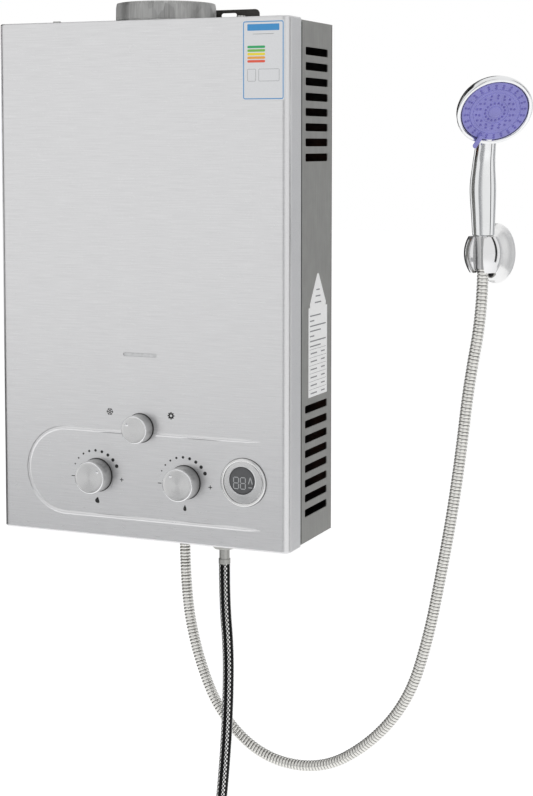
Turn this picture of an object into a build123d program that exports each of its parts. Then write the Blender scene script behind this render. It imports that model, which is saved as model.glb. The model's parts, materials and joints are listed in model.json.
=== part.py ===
from build123d import *
import os
from math import cos, radians, sin, tan

os.makedirs("parts", exist_ok=True)

# The frame: the wall is the plane Y = 0, the front faces -Y, and Z = 0 is the line of the hanging slots.

# Case
CASE_W = 330.0
CASE_H = 532.0
CASE_D = 120.0
SHEET = 1.0
LAP = 0.3
COVER_RETURN = 31.0
COVER_NOTCH = 2.0
COVER_ROUND = 8.0
COVER_EDGE = 2.0
CASE_FLANGE = 14.0
PLATE_FLANGE = 12.0

# Hanging tabs
SLOT_RISE = 11.0
SLOT_SPACING = 94.0
SLOT_LENGTH = 18.0
SLOT_WIDTH = 5.0
TAB_W = 164.0
TAB_EDGE = 6.0
TAB_ROUND = 5.0
FOOT_TAB_DROP = 14.0

# Louvres, the same on both sides
LOUVRE_COUNT = 8
LOUVRE_PITCH = 15.2
LOUVRE_LENGTH = 61.0
LOUVRE_ROUND = 1.8
LOUVRE_HEIGHT = 8.0
LOUVRE_MARGIN = 28.0
LOUVRE_BACK = 13.0

# Control panel, heights above the case's bottom edge
KNOB_SPREAD = 50.5
KNOB_HEIGHT = 64.0
SEASON_HEIGHT = 116.6
KNOB_R = 17.2
KNOB_L = 18.0
SEASON_R = 14.8
SEASON_L = 15.0
KNOB_GAP = 0.6
KNOB_DRAFT = 0.5
KNOB_CHAMFER = 0.9
KNOB_RIM = 1.2
KNOB_DISH = 0.35
KNOB_BORE = 11.0
POINTER_R = 1.5
POINTER_INSET = 5.5
GAS_POINTER = 35.0
WATER_POINTER = 130.0
SEASON_POINTER = 148.0
SPINDLE_R = 4.0
SPINDLE_FLAT = 1.2
SPINDLE_PLAY = 2.0
EMBOSS_LEFT_IN = 32.5
EMBOSS_RIGHT_IN = 31.0
EMBOSS_TOP = 111.0
EMBOSS_BOTTOM = 21.5
EMBOSS_W = 4.2
EMBOSS_H = 1.0
EMBOSS_BREAK = 19.0
EMBOSS_FADE = 14.0
EMBOSS_TIP = 0.25
VIEW_HEIGHT = 192.0
VIEW_L = 38.5
VIEW_W = 4.0
VIEW_LAP = 5.0
DISPLAY_SIDE = 49.0
DISPLAY_HEIGHT = 69.0
BEZEL_R = 24.6
BEZEL_RIM = 3.4
BEZEL_H = 3.6
BEZEL_PLATE = 2.0
BARREL_R = 19.0
BARREL_L = 13.0
BARREL_WALL = 1.5
LENS_R = 14.0
LENS_T = 1.6
LENS_SIDE = -1.0
LENS_RISE = 2.0

# Flue
FLUE_Y = -56.0
COLLAR_R = 52.0
COLLAR_RISE = 20.0
COLLAR_FLANGE = 2.5
BEAD_OUT = 1.2
BEAD_H = 2.5
CRIMP_L = 4.0
CRIMP_IN = 0.8
NECK_LAP = 12.0
NECK_DROP = 14.0
HOOD_H = 68.0

# Combustion chamber and heat exchanger
CHAMBER_SIDE = 64.7
CHAMBER_D = 86.0
CHAMBER_ROUND = 6.0
FRAME_LOW = 168.0
FRAME_H = 64.0
FRAME_LEDGE = 7.0
FIN_PITCH = 22.0
FIN_T = 1.2
FIN_H = 38.0
TUBE_R = 6.5
TUBE_WALL = 0.8
PASS_SPACING = 43.0
PASS_OVERHANG = 14.0
PASS_DROP = 24.0
BAR_PITCH = 22.0
BAR_W = 13.0
BAR_D = 78.0
BAR_H = 46.0
BAR_PORT_W = 6.0
BAR_SHOULDER = 8.0
ELECTRODE_X = 20.0
ELECTRODE_R = 3.0
ELECTRODE_RISE = 9.0
ELECTRODE_OUT = 10.0
ELECTRODE_IN = 14.0
TIP_R = 1.0
TIP_L = 9.0
THERMOSTAT_R = 8.0
THERMOSTAT_T = 7.0
THERMOSTAT_HEIGHT = 350.0
PIPE_LEAD = 22.0
PIPE_BEND = 13.0
SHELL_TUBE_GAP = 0.15

# Valves, on one line across the case
VALVE_Y = -57.0
VALVE_DEPTH = 36.0
VALVE_TALL = 42.0
VALVE_ROUND = 5.0
BOSS_R = 13.0
BOSS_EDGE = 3.0
BOSS_SETBACK = 28.0
SPINDLE_SEAT = 26.0
GAS_RIGHT = 14.0
WATER_LEFT = 22.0
WATER_RIGHT = 72.0
GAS_IN_SIDE = 22.0
PORT_CLEAR = 13.5
COLD_IN_X = 66.0
HOT_X = 7.0
HOT_Y = -30.0
PORT_R = 12.5
STUB_TOP = 12.0
STUB_R = 10.4
STUB_REACH = 9.0
STUB_HEX = 24.0
STUB_BORE = 6.5
THREAD_L = 9.0
THREAD_RELIEF = 0.4
COLD_OUT_X = 40.0
COLD_OUT_R = 9.0
COLD_OUT_H = 12.0
NECK_R = 8.0
CHAMBER_R = 30.0
CHAMBER_T = 10.0
CHAMBER_RECESS_R = 20.0
CHAMBER_RECESS = 8.0
DIAPHRAGM_T = 1.6
DIAPHRAGM_INSET = 1.0
DOME_H = 12.0
DOME_R = 22.0
DOME_TOP_R = 14.0
DOME_FLANGE = 4.0
ROD_R = 2.5
ROD_PLATE_R = 14.0
ROD_PLATE_T = 2.0
ROD_TRAVEL = 4.0
ROD_INTO_GAS = 12.0
SEASON_BODY_R = 15.0
SEASON_BODY_L = 40.0
SEASON_JOIN = 98.0
MANIFOLD_H = 150.0
MANIFOLD_T = 16.0
MANIFOLD_END = 15.0
JET_HEX = 7.0
SOLENOID_R = 14.0
SOLENOID_L = 36.0
SOLENOID_CAP_R = 9.0
SOLENOID_CAP_L = 5.0
SWITCH_W = 6.5
SWITCH_D = 20.0
SWITCH_H = 11.0
SWITCH_GAP = 3.5
SWITCH_BUTTON = 1.2

# Ignition
IGNITER_W = 56.0
IGNITER_D = 42.0
IGNITER_H = 60.0
IGNITER_LOW = 96.0
IGNITER_MARGIN = 8.0
IGNITER_ROUND = 3.0
LEAD_R = 2.0
LEAD_BEND = 14.0
CELL_R = 16.2
CELL_L = 60.0
BOX_WALL = 1.5
BOX_MARGIN = 6.0
BOX_FRONT = 34.0
LID_T = 2.6
LID_LAP = 3.0
LID_HINGE = 7.0
LID_PIN_R = 1.2
LID_BARREL_R = 2.4
LID_LUG_W = 6.0
LID_GAP = 0.4

# Fits
FIT = 0.05
SEAT = 0.3

# Screws
SCREW_R = 2.0
SCREW_HEAD_R = 4.0
SCREW_HEAD_H = 2.4
SCREW_L = 8.0
COVER_SCREW_SIDE = 60.0
COVER_SCREW_IN = 20.0

# Shower hose, with its route from the hot outlet to the handset
HOSE_R = 5.75
HOSE_ROOT = 5.0
HOSE_BORE = 3.4
HOSE_RIBS = 60
HOSE_NUT_HEX = 25.0
HOSE_NUT_H = 13.0
HOSE_NUT_TOP = 3.0
WASHER_T = 2.0
WASHER_R = 10.0
CONE_LOW = 285.5
CONE_H = 32.0
CONE_LOW_R = 7.6
CONE_HIGH_R = 10.4
CONE_SOCKET = 8.0
SPIGOT_R = 6.0
SPIGOT_L = 12.0

# Inlet hose
BRAID_R = 5.9
TAIL_R = 5.4
TAIL_L = 16.5
CRIMP_R = 6.2
CRIMP_BAND = 5.0

# Shower holder on the wall
HOLDER_X = 341.3
HOLDER_Z = 298.0
HOLDER_REACH = 50.0
BASE_W = 38.5
BASE_H = 60.0
CUP_R = 18.8
CUP_TOP_R = 14.5
CUP_LOW_R = 13.0
CUP_LOW = 282.0
CUP_H = 35.3
CUP_GAP = 10.0
PLATE_T = 4.0
PLATE_MARGIN = 3.0
PLATE_HOLES = 30.0
PLATE_HOLE_R = 2.3
SET_SCREW_R = 2.4
SET_SCREW_L = 7.0
SET_SCREW_HOLE = 12.0
SET_SCREW_OUT = 14.0

# Handset
HAND_TURN = 32.7
HAND_GAP = 0.3
FACE_TILT = 34.0
FACE_AHEAD = 34.0
FACE_HEIGHT = 437.6
RIM_R = 37.0
FACE_R = 33.8
RIM_FRONT = 1.0
RIM_BACK = 6.0
HANDLE_FACETS = 8
HANDLE_BORE = 40.0
FACE_EDGE = 1.0
RING_OUT = 21.0
RING_IN = 13.0
RING_STEP = 0.6
HUB_R = 6.0
HUB_H = 1.2
NOZZLE_R = 1.1
NOZZLE_H = 0.9
INNER_RING_R = 9.5
INNER_NOZZLE_COUNT = 8
OUTER_RING_R = 28.5
OUTER_NOZZLE_COUNT = 18
LEVER_TURN = 21.0
LEVER_ROOT = 22.0
LEVER_REACH = 43.0
LEVER_W = 6.0
LEVER_T = 3.4
LEVER_GAP = 0.4
AXLE_R = 5.0
AXLE_L = 6.0

# Handle sections: height above its foot, lean ahead, tilt in degrees and radius
HANDLE_FORM = [
    (0.0, 0.0, 0.0, 11.2),
    (28.0, 0.0, 0.0, 12.9),
    (62.0, 0.0, 0.0, 10.9),
    (90.0, 0.0, 4.0, 9.7),
    (107.0, 5.0, 24.0, 9.7),
    (120.0, 14.0, 45.0, 9.4),
]

# Head sections behind the face: depth and radius
BOWL_FORM = [(6.0, 36.6), (11.0, 34.5), (17.0, 27.0), (21.0, 16.0)]

CASE_TOP = -SLOT_RISE
CASE_BOTTOM = CASE_TOP - CASE_H
FRONT = -CASE_D
CASE_HALF = CASE_W / 2 - SHEET - LAP
INNER_HALF = CASE_HALF - SHEET
SHELL_FRONT = FRONT + COVER_ROUND
SHELL_LOW = CASE_BOTTOM + COVER_EDGE
SHELL_HIGH = CASE_TOP - COVER_EDGE
PLATE_Y = SHELL_FRONT / 2
PLATE_DEPTH = -SHELL_FRONT - 2 * SHEET
FACE = Plane.XZ.offset(CASE_D)
EMBOSS_LEFT = EMBOSS_LEFT_IN - CASE_W / 2
EMBOSS_RIGHT = CASE_W / 2 - EMBOSS_RIGHT_IN
DISPLAY_X = CASE_W / 2 - DISPLAY_SIDE
COVER_SCREW_X = CASE_W / 2 - COVER_SCREW_SIDE
CHAMBER_W = 2 * (INNER_HALF - CHAMBER_SIDE)
FIN_COUNT = int((CHAMBER_W - 2 * SHEET) / FIN_PITCH)
BAR_COUNT = int((CHAMBER_W - 2 * SHEET) / BAR_PITCH)
MANIFOLD_L = (BAR_COUNT - 1) * BAR_PITCH + 2 * MANIFOLD_END
PIPE_SIDE = CHAMBER_W / 2 + PASS_OVERHANG + PIPE_LEAD


def up(height):
    """A height above the case's bottom edge, in the part's own frame."""
    return CASE_BOTTOM + height


def axial_plane(x, y, z):
    """A plane through a front-facing axis: across is +X and up is -Y."""
    return Plane(origin=(x, y, z), x_dir=(1, 0, 0), z_dir=(0, 0, -1))


def radii(points):
    """The largest even bends that the runs of a route leave room for."""
    found = []
    corners = [Vector(*p) for p in points]
    for before, here, after in zip(corners, corners[1:], corners[2:]):
        arriving = here - before
        leaving = after - here
        shorter = min(arriving.length, leaving.length)
        found.append(0.45 * shorter / tan(radians(arriving.get_angle(leaving) / 2)))
    return found


def write(builder, name):
    """Label a finished piece and save it under its own name."""
    builder.part.label = name
    export_step(builder.part, f"parts/{name}.step")


# Front cover: a shallow pan with the control panel


def cover_block(inset):
    """The cover's outer block, or its hollow when inset by the sheet."""
    front = FRONT + inset
    back = FRONT + COVER_RETURN + inset
    with BuildPart() as block:
        with BuildSketch(Plane.XY.offset(CASE_BOTTOM + inset)) as outline:
            with Locations((0, (front + back) / 2)):
                Rectangle(CASE_W - 2 * inset, back - front)
            fillet(outline.vertices().group_by(Axis.Y)[0], COVER_ROUND - inset)
        extrude(amount=CASE_H - 2 * inset)
        top_edges = block.faces().sort_by(Axis.Z)[-1].edges().sort_by(Axis.Y)[:-1]
        low_edges = block.faces().sort_by(Axis.Z)[0].edges().sort_by(Axis.Y)[:-1]
        fillet(top_edges + low_edges, COVER_EDGE - inset)
    return block.part


emboss_mid = up((EMBOSS_TOP + EMBOSS_BOTTOM) / 2)
emboss_bend = (EMBOSS_TOP - EMBOSS_BOTTOM) / 2
emboss_turn = EMBOSS_LEFT + emboss_bend
emboss_fade = EMBOSS_RIGHT - EMBOSS_FADE


def emboss_section(x, height, share):
    """The rounded section of the embossed line across its run, at a share of its full size."""
    half = share * EMBOSS_W / 2
    with BuildSketch(Plane(origin=(x, FRONT, up(height)), x_dir=(0, 0, 1), z_dir=(-1, 0, 0))) as section:
        with BuildLine():
            ThreePointArc((-half, 0), (0, -share * EMBOSS_H), (half, 0))
            Polyline((half, 0), (half, SHEET / 2), (-half, SHEET / 2), (-half, 0))
        make_face()
    return section.sketch


with BuildPart() as front_cover:
    add(cover_block(0))
    add(cover_block(SHEET), mode=Mode.SUBTRACT)
    with BuildSketch(Plane.XY.offset(CASE_TOP)):
        with Locations((0, FLUE_Y)):
            Circle(COLLAR_R + COVER_NOTCH)
    extrude(amount=-2 * SHEET, mode=Mode.SUBTRACT)
    with BuildLine(FACE) as emboss_path:
        Line((emboss_fade, up(EMBOSS_TOP)), (emboss_turn, up(EMBOSS_TOP)))
        ThreePointArc(
            (emboss_turn, up(EMBOSS_TOP)), (EMBOSS_LEFT, emboss_mid), (emboss_turn, up(EMBOSS_BOTTOM))
        )
        Line((emboss_turn, up(EMBOSS_BOTTOM)), (emboss_fade, up(EMBOSS_BOTTOM)))
    sweep(emboss_section(emboss_fade, EMBOSS_TOP, 1), path=emboss_path.wire())
    for height in (EMBOSS_TOP, EMBOSS_BOTTOM):
        loft([emboss_section(emboss_fade, height, 1), emboss_section(EMBOSS_RIGHT, height, EMBOSS_TIP)])
    with BuildSketch(FACE):
        with Locations((0, up(SEASON_HEIGHT))):
            Circle(EMBOSS_BREAK)
    extrude(amount=EMBOSS_H + SHEET, mode=Mode.SUBTRACT)
    with BuildSketch(FACE):
        with Locations(
            (-KNOB_SPREAD, up(KNOB_HEIGHT)), (KNOB_SPREAD, up(KNOB_HEIGHT)), (0, up(SEASON_HEIGHT))
        ):
            Circle(SPINDLE_R + SPINDLE_PLAY)
        with Locations((DISPLAY_X, up(DISPLAY_HEIGHT))):
            Circle(BARREL_R + LAP)
        with Locations((0, up(VIEW_HEIGHT))):
            SlotOverall(VIEW_L, VIEW_W)
    extrude(amount=-2 * SHEET, mode=Mode.SUBTRACT)
    for flange_z in (CASE_BOTTOM, CASE_TOP - SHEET):
        with BuildSketch(Plane.XY.offset(flange_z)):
            with Locations((-COVER_SCREW_X, FRONT + COVER_SCREW_IN), (COVER_SCREW_X, FRONT + COVER_SCREW_IN)):
                Circle(SCREW_R + LAP)
        extrude(amount=SHEET, mode=Mode.SUBTRACT)
write(front_cover, "front_cover")

# Rear case: back and sides in one sheet, with louvres and hanging tabs

louvre_y = -LOUVRE_BACK - LOUVRE_LENGTH / 2
louvre_span = (LOUVRE_COUNT - 1) * LOUVRE_PITCH + LOUVRE_HEIGHT
with BuildPart() as rear_case:
    with BuildSketch(Plane.XY.offset(SHELL_LOW)):
        with Locations((0, SHELL_FRONT / 2)):
            Rectangle(2 * CASE_HALF, -SHELL_FRONT)
            Rectangle(2 * INNER_HALF, -SHELL_FRONT - 2 * SHEET, mode=Mode.SUBTRACT)
        with Locations((0, SHELL_FRONT + SHEET / 2)):
            Rectangle(2 * (INNER_HALF - CASE_FLANGE), 2 * SHEET, mode=Mode.SUBTRACT)
    extrude(amount=SHELL_HIGH - SHELL_LOW)
    with BuildSketch(Plane.YZ.offset(-CASE_W / 2)):
        for group_z in (
            CASE_TOP - LOUVRE_MARGIN - louvre_span / 2,
            CASE_BOTTOM + LOUVRE_MARGIN + louvre_span / 2,
        ):
            with Locations((louvre_y, group_z)):
                with GridLocations(0, LOUVRE_PITCH, 1, LOUVRE_COUNT):
                    RectangleRounded(LOUVRE_LENGTH, LOUVRE_HEIGHT, LOUVRE_ROUND)
    extrude(amount=CASE_W, mode=Mode.SUBTRACT)
    tab_high = TAB_EDGE - SHELL_HIGH
    tab_low = FOOT_TAB_DROP + TAB_EDGE
    with BuildSketch(Plane.XZ) as tabs:
        with Locations((0, TAB_EDGE - tab_high / 2)):
            Rectangle(TAB_W, tab_high)
        with Locations((0, SHELL_LOW - tab_low / 2)):
            Rectangle(TAB_W, tab_low)
        corners = tabs.vertices().group_by(Axis.Z)
        fillet(corners[0] + corners[-1], TAB_ROUND)
        with Locations((0, 0), (0, SHELL_LOW - FOOT_TAB_DROP)):
            with GridLocations(SLOT_SPACING, 0, 2, 1):
                SlotOverall(SLOT_LENGTH, SLOT_WIDTH, mode=Mode.SUBTRACT)
    extrude(amount=SHEET)
write(rear_case, "rear_case")

# Top plate and bottom plate: folded pans that close the case

cell_left = -INNER_HALF + BOX_MARGIN + BOX_WALL + SEAT
box_low_x = cell_left - SEAT - BOX_WALL
box_high_x = cell_left + 4 * CELL_R + 2 * SEAT + BOX_WALL
gas_in_x = box_high_x + PORT_CLEAR + PORT_R
gas_left = min(gas_in_x - GAS_IN_SIDE, -KNOB_SPREAD - BOSS_R - BOSS_EDGE)
stub_places = [(gas_in_x, VALVE_Y), (COLD_IN_X, VALVE_Y), (HOT_X, HOT_Y)]
box_front_y = FRONT + BOX_FRONT
box_back_y = box_front_y + CELL_L + 2 * BOX_WALL + 2 * SEAT
box_x = (box_low_x + box_high_x) / 2
box_w = box_high_x - box_low_x
hinge_y = box_back_y + LID_HINGE
lid_top = SHELL_LOW - SEAT
hinge_z = lid_top - LID_BARREL_R
floor_z = SHELL_LOW + SHEET


def folded_plate(sheet_z, flange_z):
    """A flat sheet across the case with a folded flange along each side."""
    with BuildPart() as plate:
        with BuildSketch(Plane.XY.offset(sheet_z)):
            with Locations((0, PLATE_Y)):
                Rectangle(2 * INNER_HALF, PLATE_DEPTH)
        extrude(amount=SHEET)
        with BuildSketch(Plane.XY.offset(flange_z)):
            with Locations((0, PLATE_Y)):
                with GridLocations(2 * INNER_HALF - SHEET, 0, 2, 1):
                    Rectangle(SHEET, PLATE_DEPTH)
        extrude(amount=PLATE_FLANGE)
    return plate.part


with BuildPart() as top_plate:
    add(folded_plate(SHELL_HIGH - SHEET, SHELL_HIGH - PLATE_FLANGE))
    with BuildSketch(Plane.XY.offset(SHELL_HIGH)):
        with Locations((0, FLUE_Y)):
            Circle(COLLAR_R + LAP)
        with Locations((-COVER_SCREW_X, FRONT + COVER_SCREW_IN), (COVER_SCREW_X, FRONT + COVER_SCREW_IN)):
            Circle(SCREW_R + FIT)
    extrude(amount=-SHEET, mode=Mode.SUBTRACT)
write(top_plate, "top_plate")

with BuildPart() as bottom_plate:
    add(folded_plate(SHELL_LOW, SHELL_LOW))
    with BuildSketch(Plane.XY.offset(SHELL_LOW)):
        with Locations(*stub_places):
            Circle(STUB_R + SEAT)
        with Locations((box_x, (box_front_y + hinge_y) / 2 + LID_LAP)):
            Rectangle(box_w - 2 * LID_LAP, hinge_y - box_front_y)
        with Locations((-COVER_SCREW_X, FRONT + COVER_SCREW_IN), (COVER_SCREW_X, FRONT + COVER_SCREW_IN)):
            Circle(SCREW_R + FIT)
    extrude(amount=SHEET, mode=Mode.SUBTRACT)
write(bottom_plate, "bottom_plate")

# Flue collar and hood

collar_top = CASE_TOP + COLLAR_RISE
collar_low = SHELL_HIGH - 2 * SHEET
neck_r = COLLAR_R - SHEET - LAP
with BuildPart() as flue_collar:
    with BuildSketch(Plane.XZ.offset(-FLUE_Y)):
        with BuildLine():
            Polyline(
                (COLLAR_R - SHEET, collar_low),
                (COLLAR_R + COLLAR_FLANGE, collar_low),
                (COLLAR_R + COLLAR_FLANGE, collar_low + SHEET),
                (COLLAR_R, collar_low + SHEET),
                (COLLAR_R, CASE_TOP),
                (COLLAR_R + BEAD_OUT, CASE_TOP),
                (COLLAR_R + BEAD_OUT, CASE_TOP + BEAD_H),
                (COLLAR_R, CASE_TOP + BEAD_H),
                (COLLAR_R, collar_top - CRIMP_L),
                (COLLAR_R - CRIMP_IN, collar_top),
                (COLLAR_R - SHEET - CRIMP_IN, collar_top),
                (COLLAR_R - SHEET, collar_top - CRIMP_L),
                close=True,
            )
        make_face()
    revolve(axis=Axis((0, FLUE_Y, 0), (0, 0, 1)))
write(flue_collar, "flue_collar")

hood_high = collar_low - NECK_DROP
hood_low = hood_high - HOOD_H


def hood_block(inset):
    """The hood's outer form, or its hollow when inset by the sheet."""
    with BuildPart() as block:
        with BuildSketch(Plane.XY.offset(hood_low)):
            with Locations((0, FLUE_Y)):
                RectangleRounded(CHAMBER_W - 2 * inset, CHAMBER_D - 2 * inset, CHAMBER_ROUND - inset)
        with BuildSketch(Plane.XY.offset(hood_high)):
            with Locations((0, FLUE_Y)):
                Circle(neck_r - inset)
        loft()
        with BuildSketch(Plane.XY.offset(hood_high)):
            with Locations((0, FLUE_Y)):
                Circle(neck_r - inset)
        extrude(amount=NECK_DROP + NECK_LAP)
    return block.part


with BuildPart() as flue_hood:
    add(hood_block(0))
    add(hood_block(SHEET), mode=Mode.SUBTRACT)
write(flue_hood, "flue_hood")

# Heat exchanger: a copper shell with a finned hairpin tube across its top

frame_top = up(FRAME_LOW + FRAME_H)
pass_z = hood_low - PASS_DROP
front_pass = FLUE_Y - PASS_SPACING / 2
rear_pass = FLUE_Y + PASS_SPACING / 2
shell_front = FLUE_Y - CHAMBER_D / 2
electrode_z = frame_top + ELECTRODE_RISE
tube_end_x = CHAMBER_W / 2 + PASS_OVERHANG
with BuildPart() as exchanger_shell:
    with BuildSketch(Plane.XY.offset(frame_top)):
        with Locations((0, FLUE_Y)):
            RectangleRounded(CHAMBER_W, CHAMBER_D, CHAMBER_ROUND)
            RectangleRounded(
                CHAMBER_W - 2 * SHEET, CHAMBER_D - 2 * SHEET, CHAMBER_ROUND - SHEET, mode=Mode.SUBTRACT
            )
    extrude(amount=hood_low - frame_top)
    with BuildSketch(Plane.YZ.offset(-CHAMBER_W / 2 - SHEET)):
        with Locations((front_pass, pass_z), (rear_pass, pass_z)):
            Circle(TUBE_R + SHELL_TUBE_GAP)
    extrude(amount=CHAMBER_W + 2 * SHEET, mode=Mode.SUBTRACT)
    with BuildSketch(Plane.XZ.offset(-shell_front - 2 * SHEET)):
        with Locations((-ELECTRODE_X, electrode_z), (ELECTRODE_X, electrode_z)):
            Circle(ELECTRODE_R + FIT)
    extrude(amount=3 * SHEET, mode=Mode.SUBTRACT)
write(exchanger_shell, "exchanger_shell")

with BuildPart() as exchanger_fins:
    for number in range(FIN_COUNT):
        fin_x = (number - (FIN_COUNT - 1) / 2) * FIN_PITCH
        with BuildSketch(Plane.YZ.offset(fin_x)):
            with Locations((FLUE_Y, pass_z)):
                Rectangle(CHAMBER_D - 2 * SHEET - 2 * LAP, FIN_H)
            with Locations((front_pass, pass_z), (rear_pass, pass_z)):
                Circle(TUBE_R + SHELL_TUBE_GAP, mode=Mode.SUBTRACT)
        extrude(amount=FIN_T)
write(exchanger_fins, "exchanger_fins")


def pipe(points, bend):
    """A bent copper tube with its wall, along straight runs and round corners."""
    with BuildPart() as tube:
        with BuildLine() as route:
            FilletPolyline(*points, radius=bend)
        start = Plane(origin=points[0], z_dir=Vector(*points[1]) - Vector(*points[0]))
        with BuildSketch(start):
            Circle(TUBE_R)
            Circle(TUBE_R - TUBE_WALL, mode=Mode.SUBTRACT)
        sweep(path=route.wire())
    return tube


hairpin_x = -CHAMBER_W / 2 - PASS_OVERHANG - PASS_SPACING / 2
exchanger_tube = pipe(
    [
        (tube_end_x, front_pass, pass_z),
        (hairpin_x, front_pass, pass_z),
        (hairpin_x, rear_pass, pass_z),
        (tube_end_x, rear_pass, pass_z),
    ],
    PASS_SPACING / 2 - FIT,
)
write(exchanger_tube, "exchanger_tube")

with BuildPart() as overheat_thermostat:
    with BuildSketch(Plane.YZ.offset(CHAMBER_W / 2)):
        with Locations((FLUE_Y, up(THERMOSTAT_HEIGHT))):
            Circle(THERMOSTAT_R)
    extrude(amount=THERMOSTAT_T)
write(overheat_thermostat, "overheat_thermostat")


def electrode(x):
    """A ceramic body through the shell's front wall, with a wire tip over the burners."""
    with BuildPart() as rod:
        with BuildSketch(Plane.XZ.offset(-shell_front + ELECTRODE_OUT)):
            with Locations((x, electrode_z)):
                Circle(ELECTRODE_R)
        extrude(amount=-ELECTRODE_OUT - ELECTRODE_IN)
        with BuildSketch(Plane.XZ.offset(-shell_front - ELECTRODE_IN)):
            with Locations((x, electrode_z)):
                Circle(TIP_R)
        extrude(amount=-TIP_L)
    return rod


ignition_electrode = electrode(-ELECTRODE_X)
write(ignition_electrode, "ignition_electrode")
flame_probe = electrode(ELECTRODE_X)
write(flame_probe, "flame_probe")

# Burner: a frame with a ledge that carries the bars, and the manifold below

frame_low = up(FRAME_LOW)
with BuildPart() as burner_frame:
    with BuildSketch(Plane.XY.offset(frame_low)):
        with Locations((0, FLUE_Y)):
            RectangleRounded(CHAMBER_W, CHAMBER_D, CHAMBER_ROUND)
    extrude(amount=FRAME_H)
    with BuildSketch(Plane.XY.offset(frame_low + SHEET)):
        with Locations((0, FLUE_Y)):
            RectangleRounded(CHAMBER_W - 2 * SHEET, CHAMBER_D - 2 * SHEET, CHAMBER_ROUND - SHEET)
    extrude(amount=FRAME_H, mode=Mode.SUBTRACT)
    with BuildSketch(Plane.XY.offset(frame_low)):
        with Locations((0, FLUE_Y)):
            Rectangle(CHAMBER_W - 2 * FRAME_LEDGE, CHAMBER_D - 2 * FRAME_LEDGE)
    extrude(amount=SHEET, mode=Mode.SUBTRACT)
    with BuildSketch(Plane.XZ.offset(-shell_front)):
        with Locations((0, up(VIEW_HEIGHT))):
            Rectangle(VIEW_L, 2 * VIEW_W)
    extrude(amount=-2 * SHEET, mode=Mode.SUBTRACT)
write(burner_frame, "burner_frame")

bar_low = frame_low + SHEET
with BuildPart() as burner_bars:
    with BuildSketch(Plane.XZ.offset(-FLUE_Y - BAR_D / 2)):
        with GridLocations(BAR_PITCH, 0, BAR_COUNT, 1):
            Polygon(
                (-BAR_W / 2, bar_low),
                (BAR_W / 2, bar_low),
                (BAR_W / 2, bar_low + BAR_H - BAR_SHOULDER),
                (BAR_PORT_W / 2, bar_low + BAR_H),
                (-BAR_PORT_W / 2, bar_low + BAR_H),
                (-BAR_W / 2, bar_low + BAR_H - BAR_SHOULDER),
                align=None,
            )
    extrude(amount=BAR_D)
write(burner_bars, "burner_bars")

manifold_low = up(MANIFOLD_H) - MANIFOLD_T / 2
manifold_top = up(MANIFOLD_H) + MANIFOLD_T / 2
with BuildPart() as gas_manifold:
    with BuildSketch(Plane.XY.offset(manifold_low)):
        with Locations((0, VALVE_Y)):
            Rectangle(MANIFOLD_L, MANIFOLD_T)
    extrude(amount=MANIFOLD_T)
    with BuildSketch(Plane.XY.offset(manifold_top)):
        with Locations((0, VALVE_Y)):
            with GridLocations(BAR_PITCH, 0, BAR_COUNT, 1):
                RegularPolygon(JET_HEX / 2, 6)
    extrude(amount=bar_low - SEAT - manifold_top)
write(gas_manifold, "gas_manifold")

# Valves

valve_low = up(KNOB_HEIGHT) - VALVE_TALL / 2
valve_high = up(KNOB_HEIGHT) + VALVE_TALL / 2
boss_front = FRONT + BOSS_SETBACK
seat_y = boss_front + SPINDLE_SEAT


def valve_block(left, right, knob_x, port_x):
    """A cast block with a spindle boss at the front and an inlet port below."""
    with BuildPart() as block:
        with BuildSketch(Plane.XY.offset(valve_low)):
            with Locations(((left + right) / 2, VALVE_Y)):
                RectangleRounded(right - left, VALVE_DEPTH, VALVE_ROUND)
        extrude(amount=VALVE_TALL)
        with BuildSketch(Plane.XZ.offset(-boss_front)):
            with Locations((knob_x, up(KNOB_HEIGHT))):
                Circle(BOSS_R)
        extrude(amount=boss_front - VALVE_Y)
        with BuildSketch(Plane.XY.offset(up(STUB_TOP))):
            with Locations((port_x, VALVE_Y)):
                Circle(PORT_R)
        extrude(amount=valve_low - up(STUB_TOP))
        with BuildSketch(Plane.XZ.offset(-boss_front)):
            with Locations((knob_x, up(KNOB_HEIGHT))):
                Circle(SPINDLE_R + FIT)
        extrude(amount=boss_front - seat_y, mode=Mode.SUBTRACT)
    return block.part


rod_end = GAS_RIGHT - ROD_INTO_GAS
with BuildPart() as gas_valve_body:
    add(valve_block(gas_left, GAS_RIGHT, -KNOB_SPREAD, gas_in_x))
    with BuildSketch(Plane.XY.offset(valve_high)):
        with Locations((0, VALVE_Y)):
            Circle(NECK_R)
    extrude(amount=up(SEASON_JOIN) - valve_high)
    with BuildSketch(Plane.YZ.offset(GAS_RIGHT)):
        with Locations((VALVE_Y, up(KNOB_HEIGHT))):
            Circle(ROD_R + FIT)
    extrude(amount=-ROD_INTO_GAS - ROD_TRAVEL - SHEET, mode=Mode.SUBTRACT)
write(gas_valve_body, "gas_valve_body")

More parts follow.
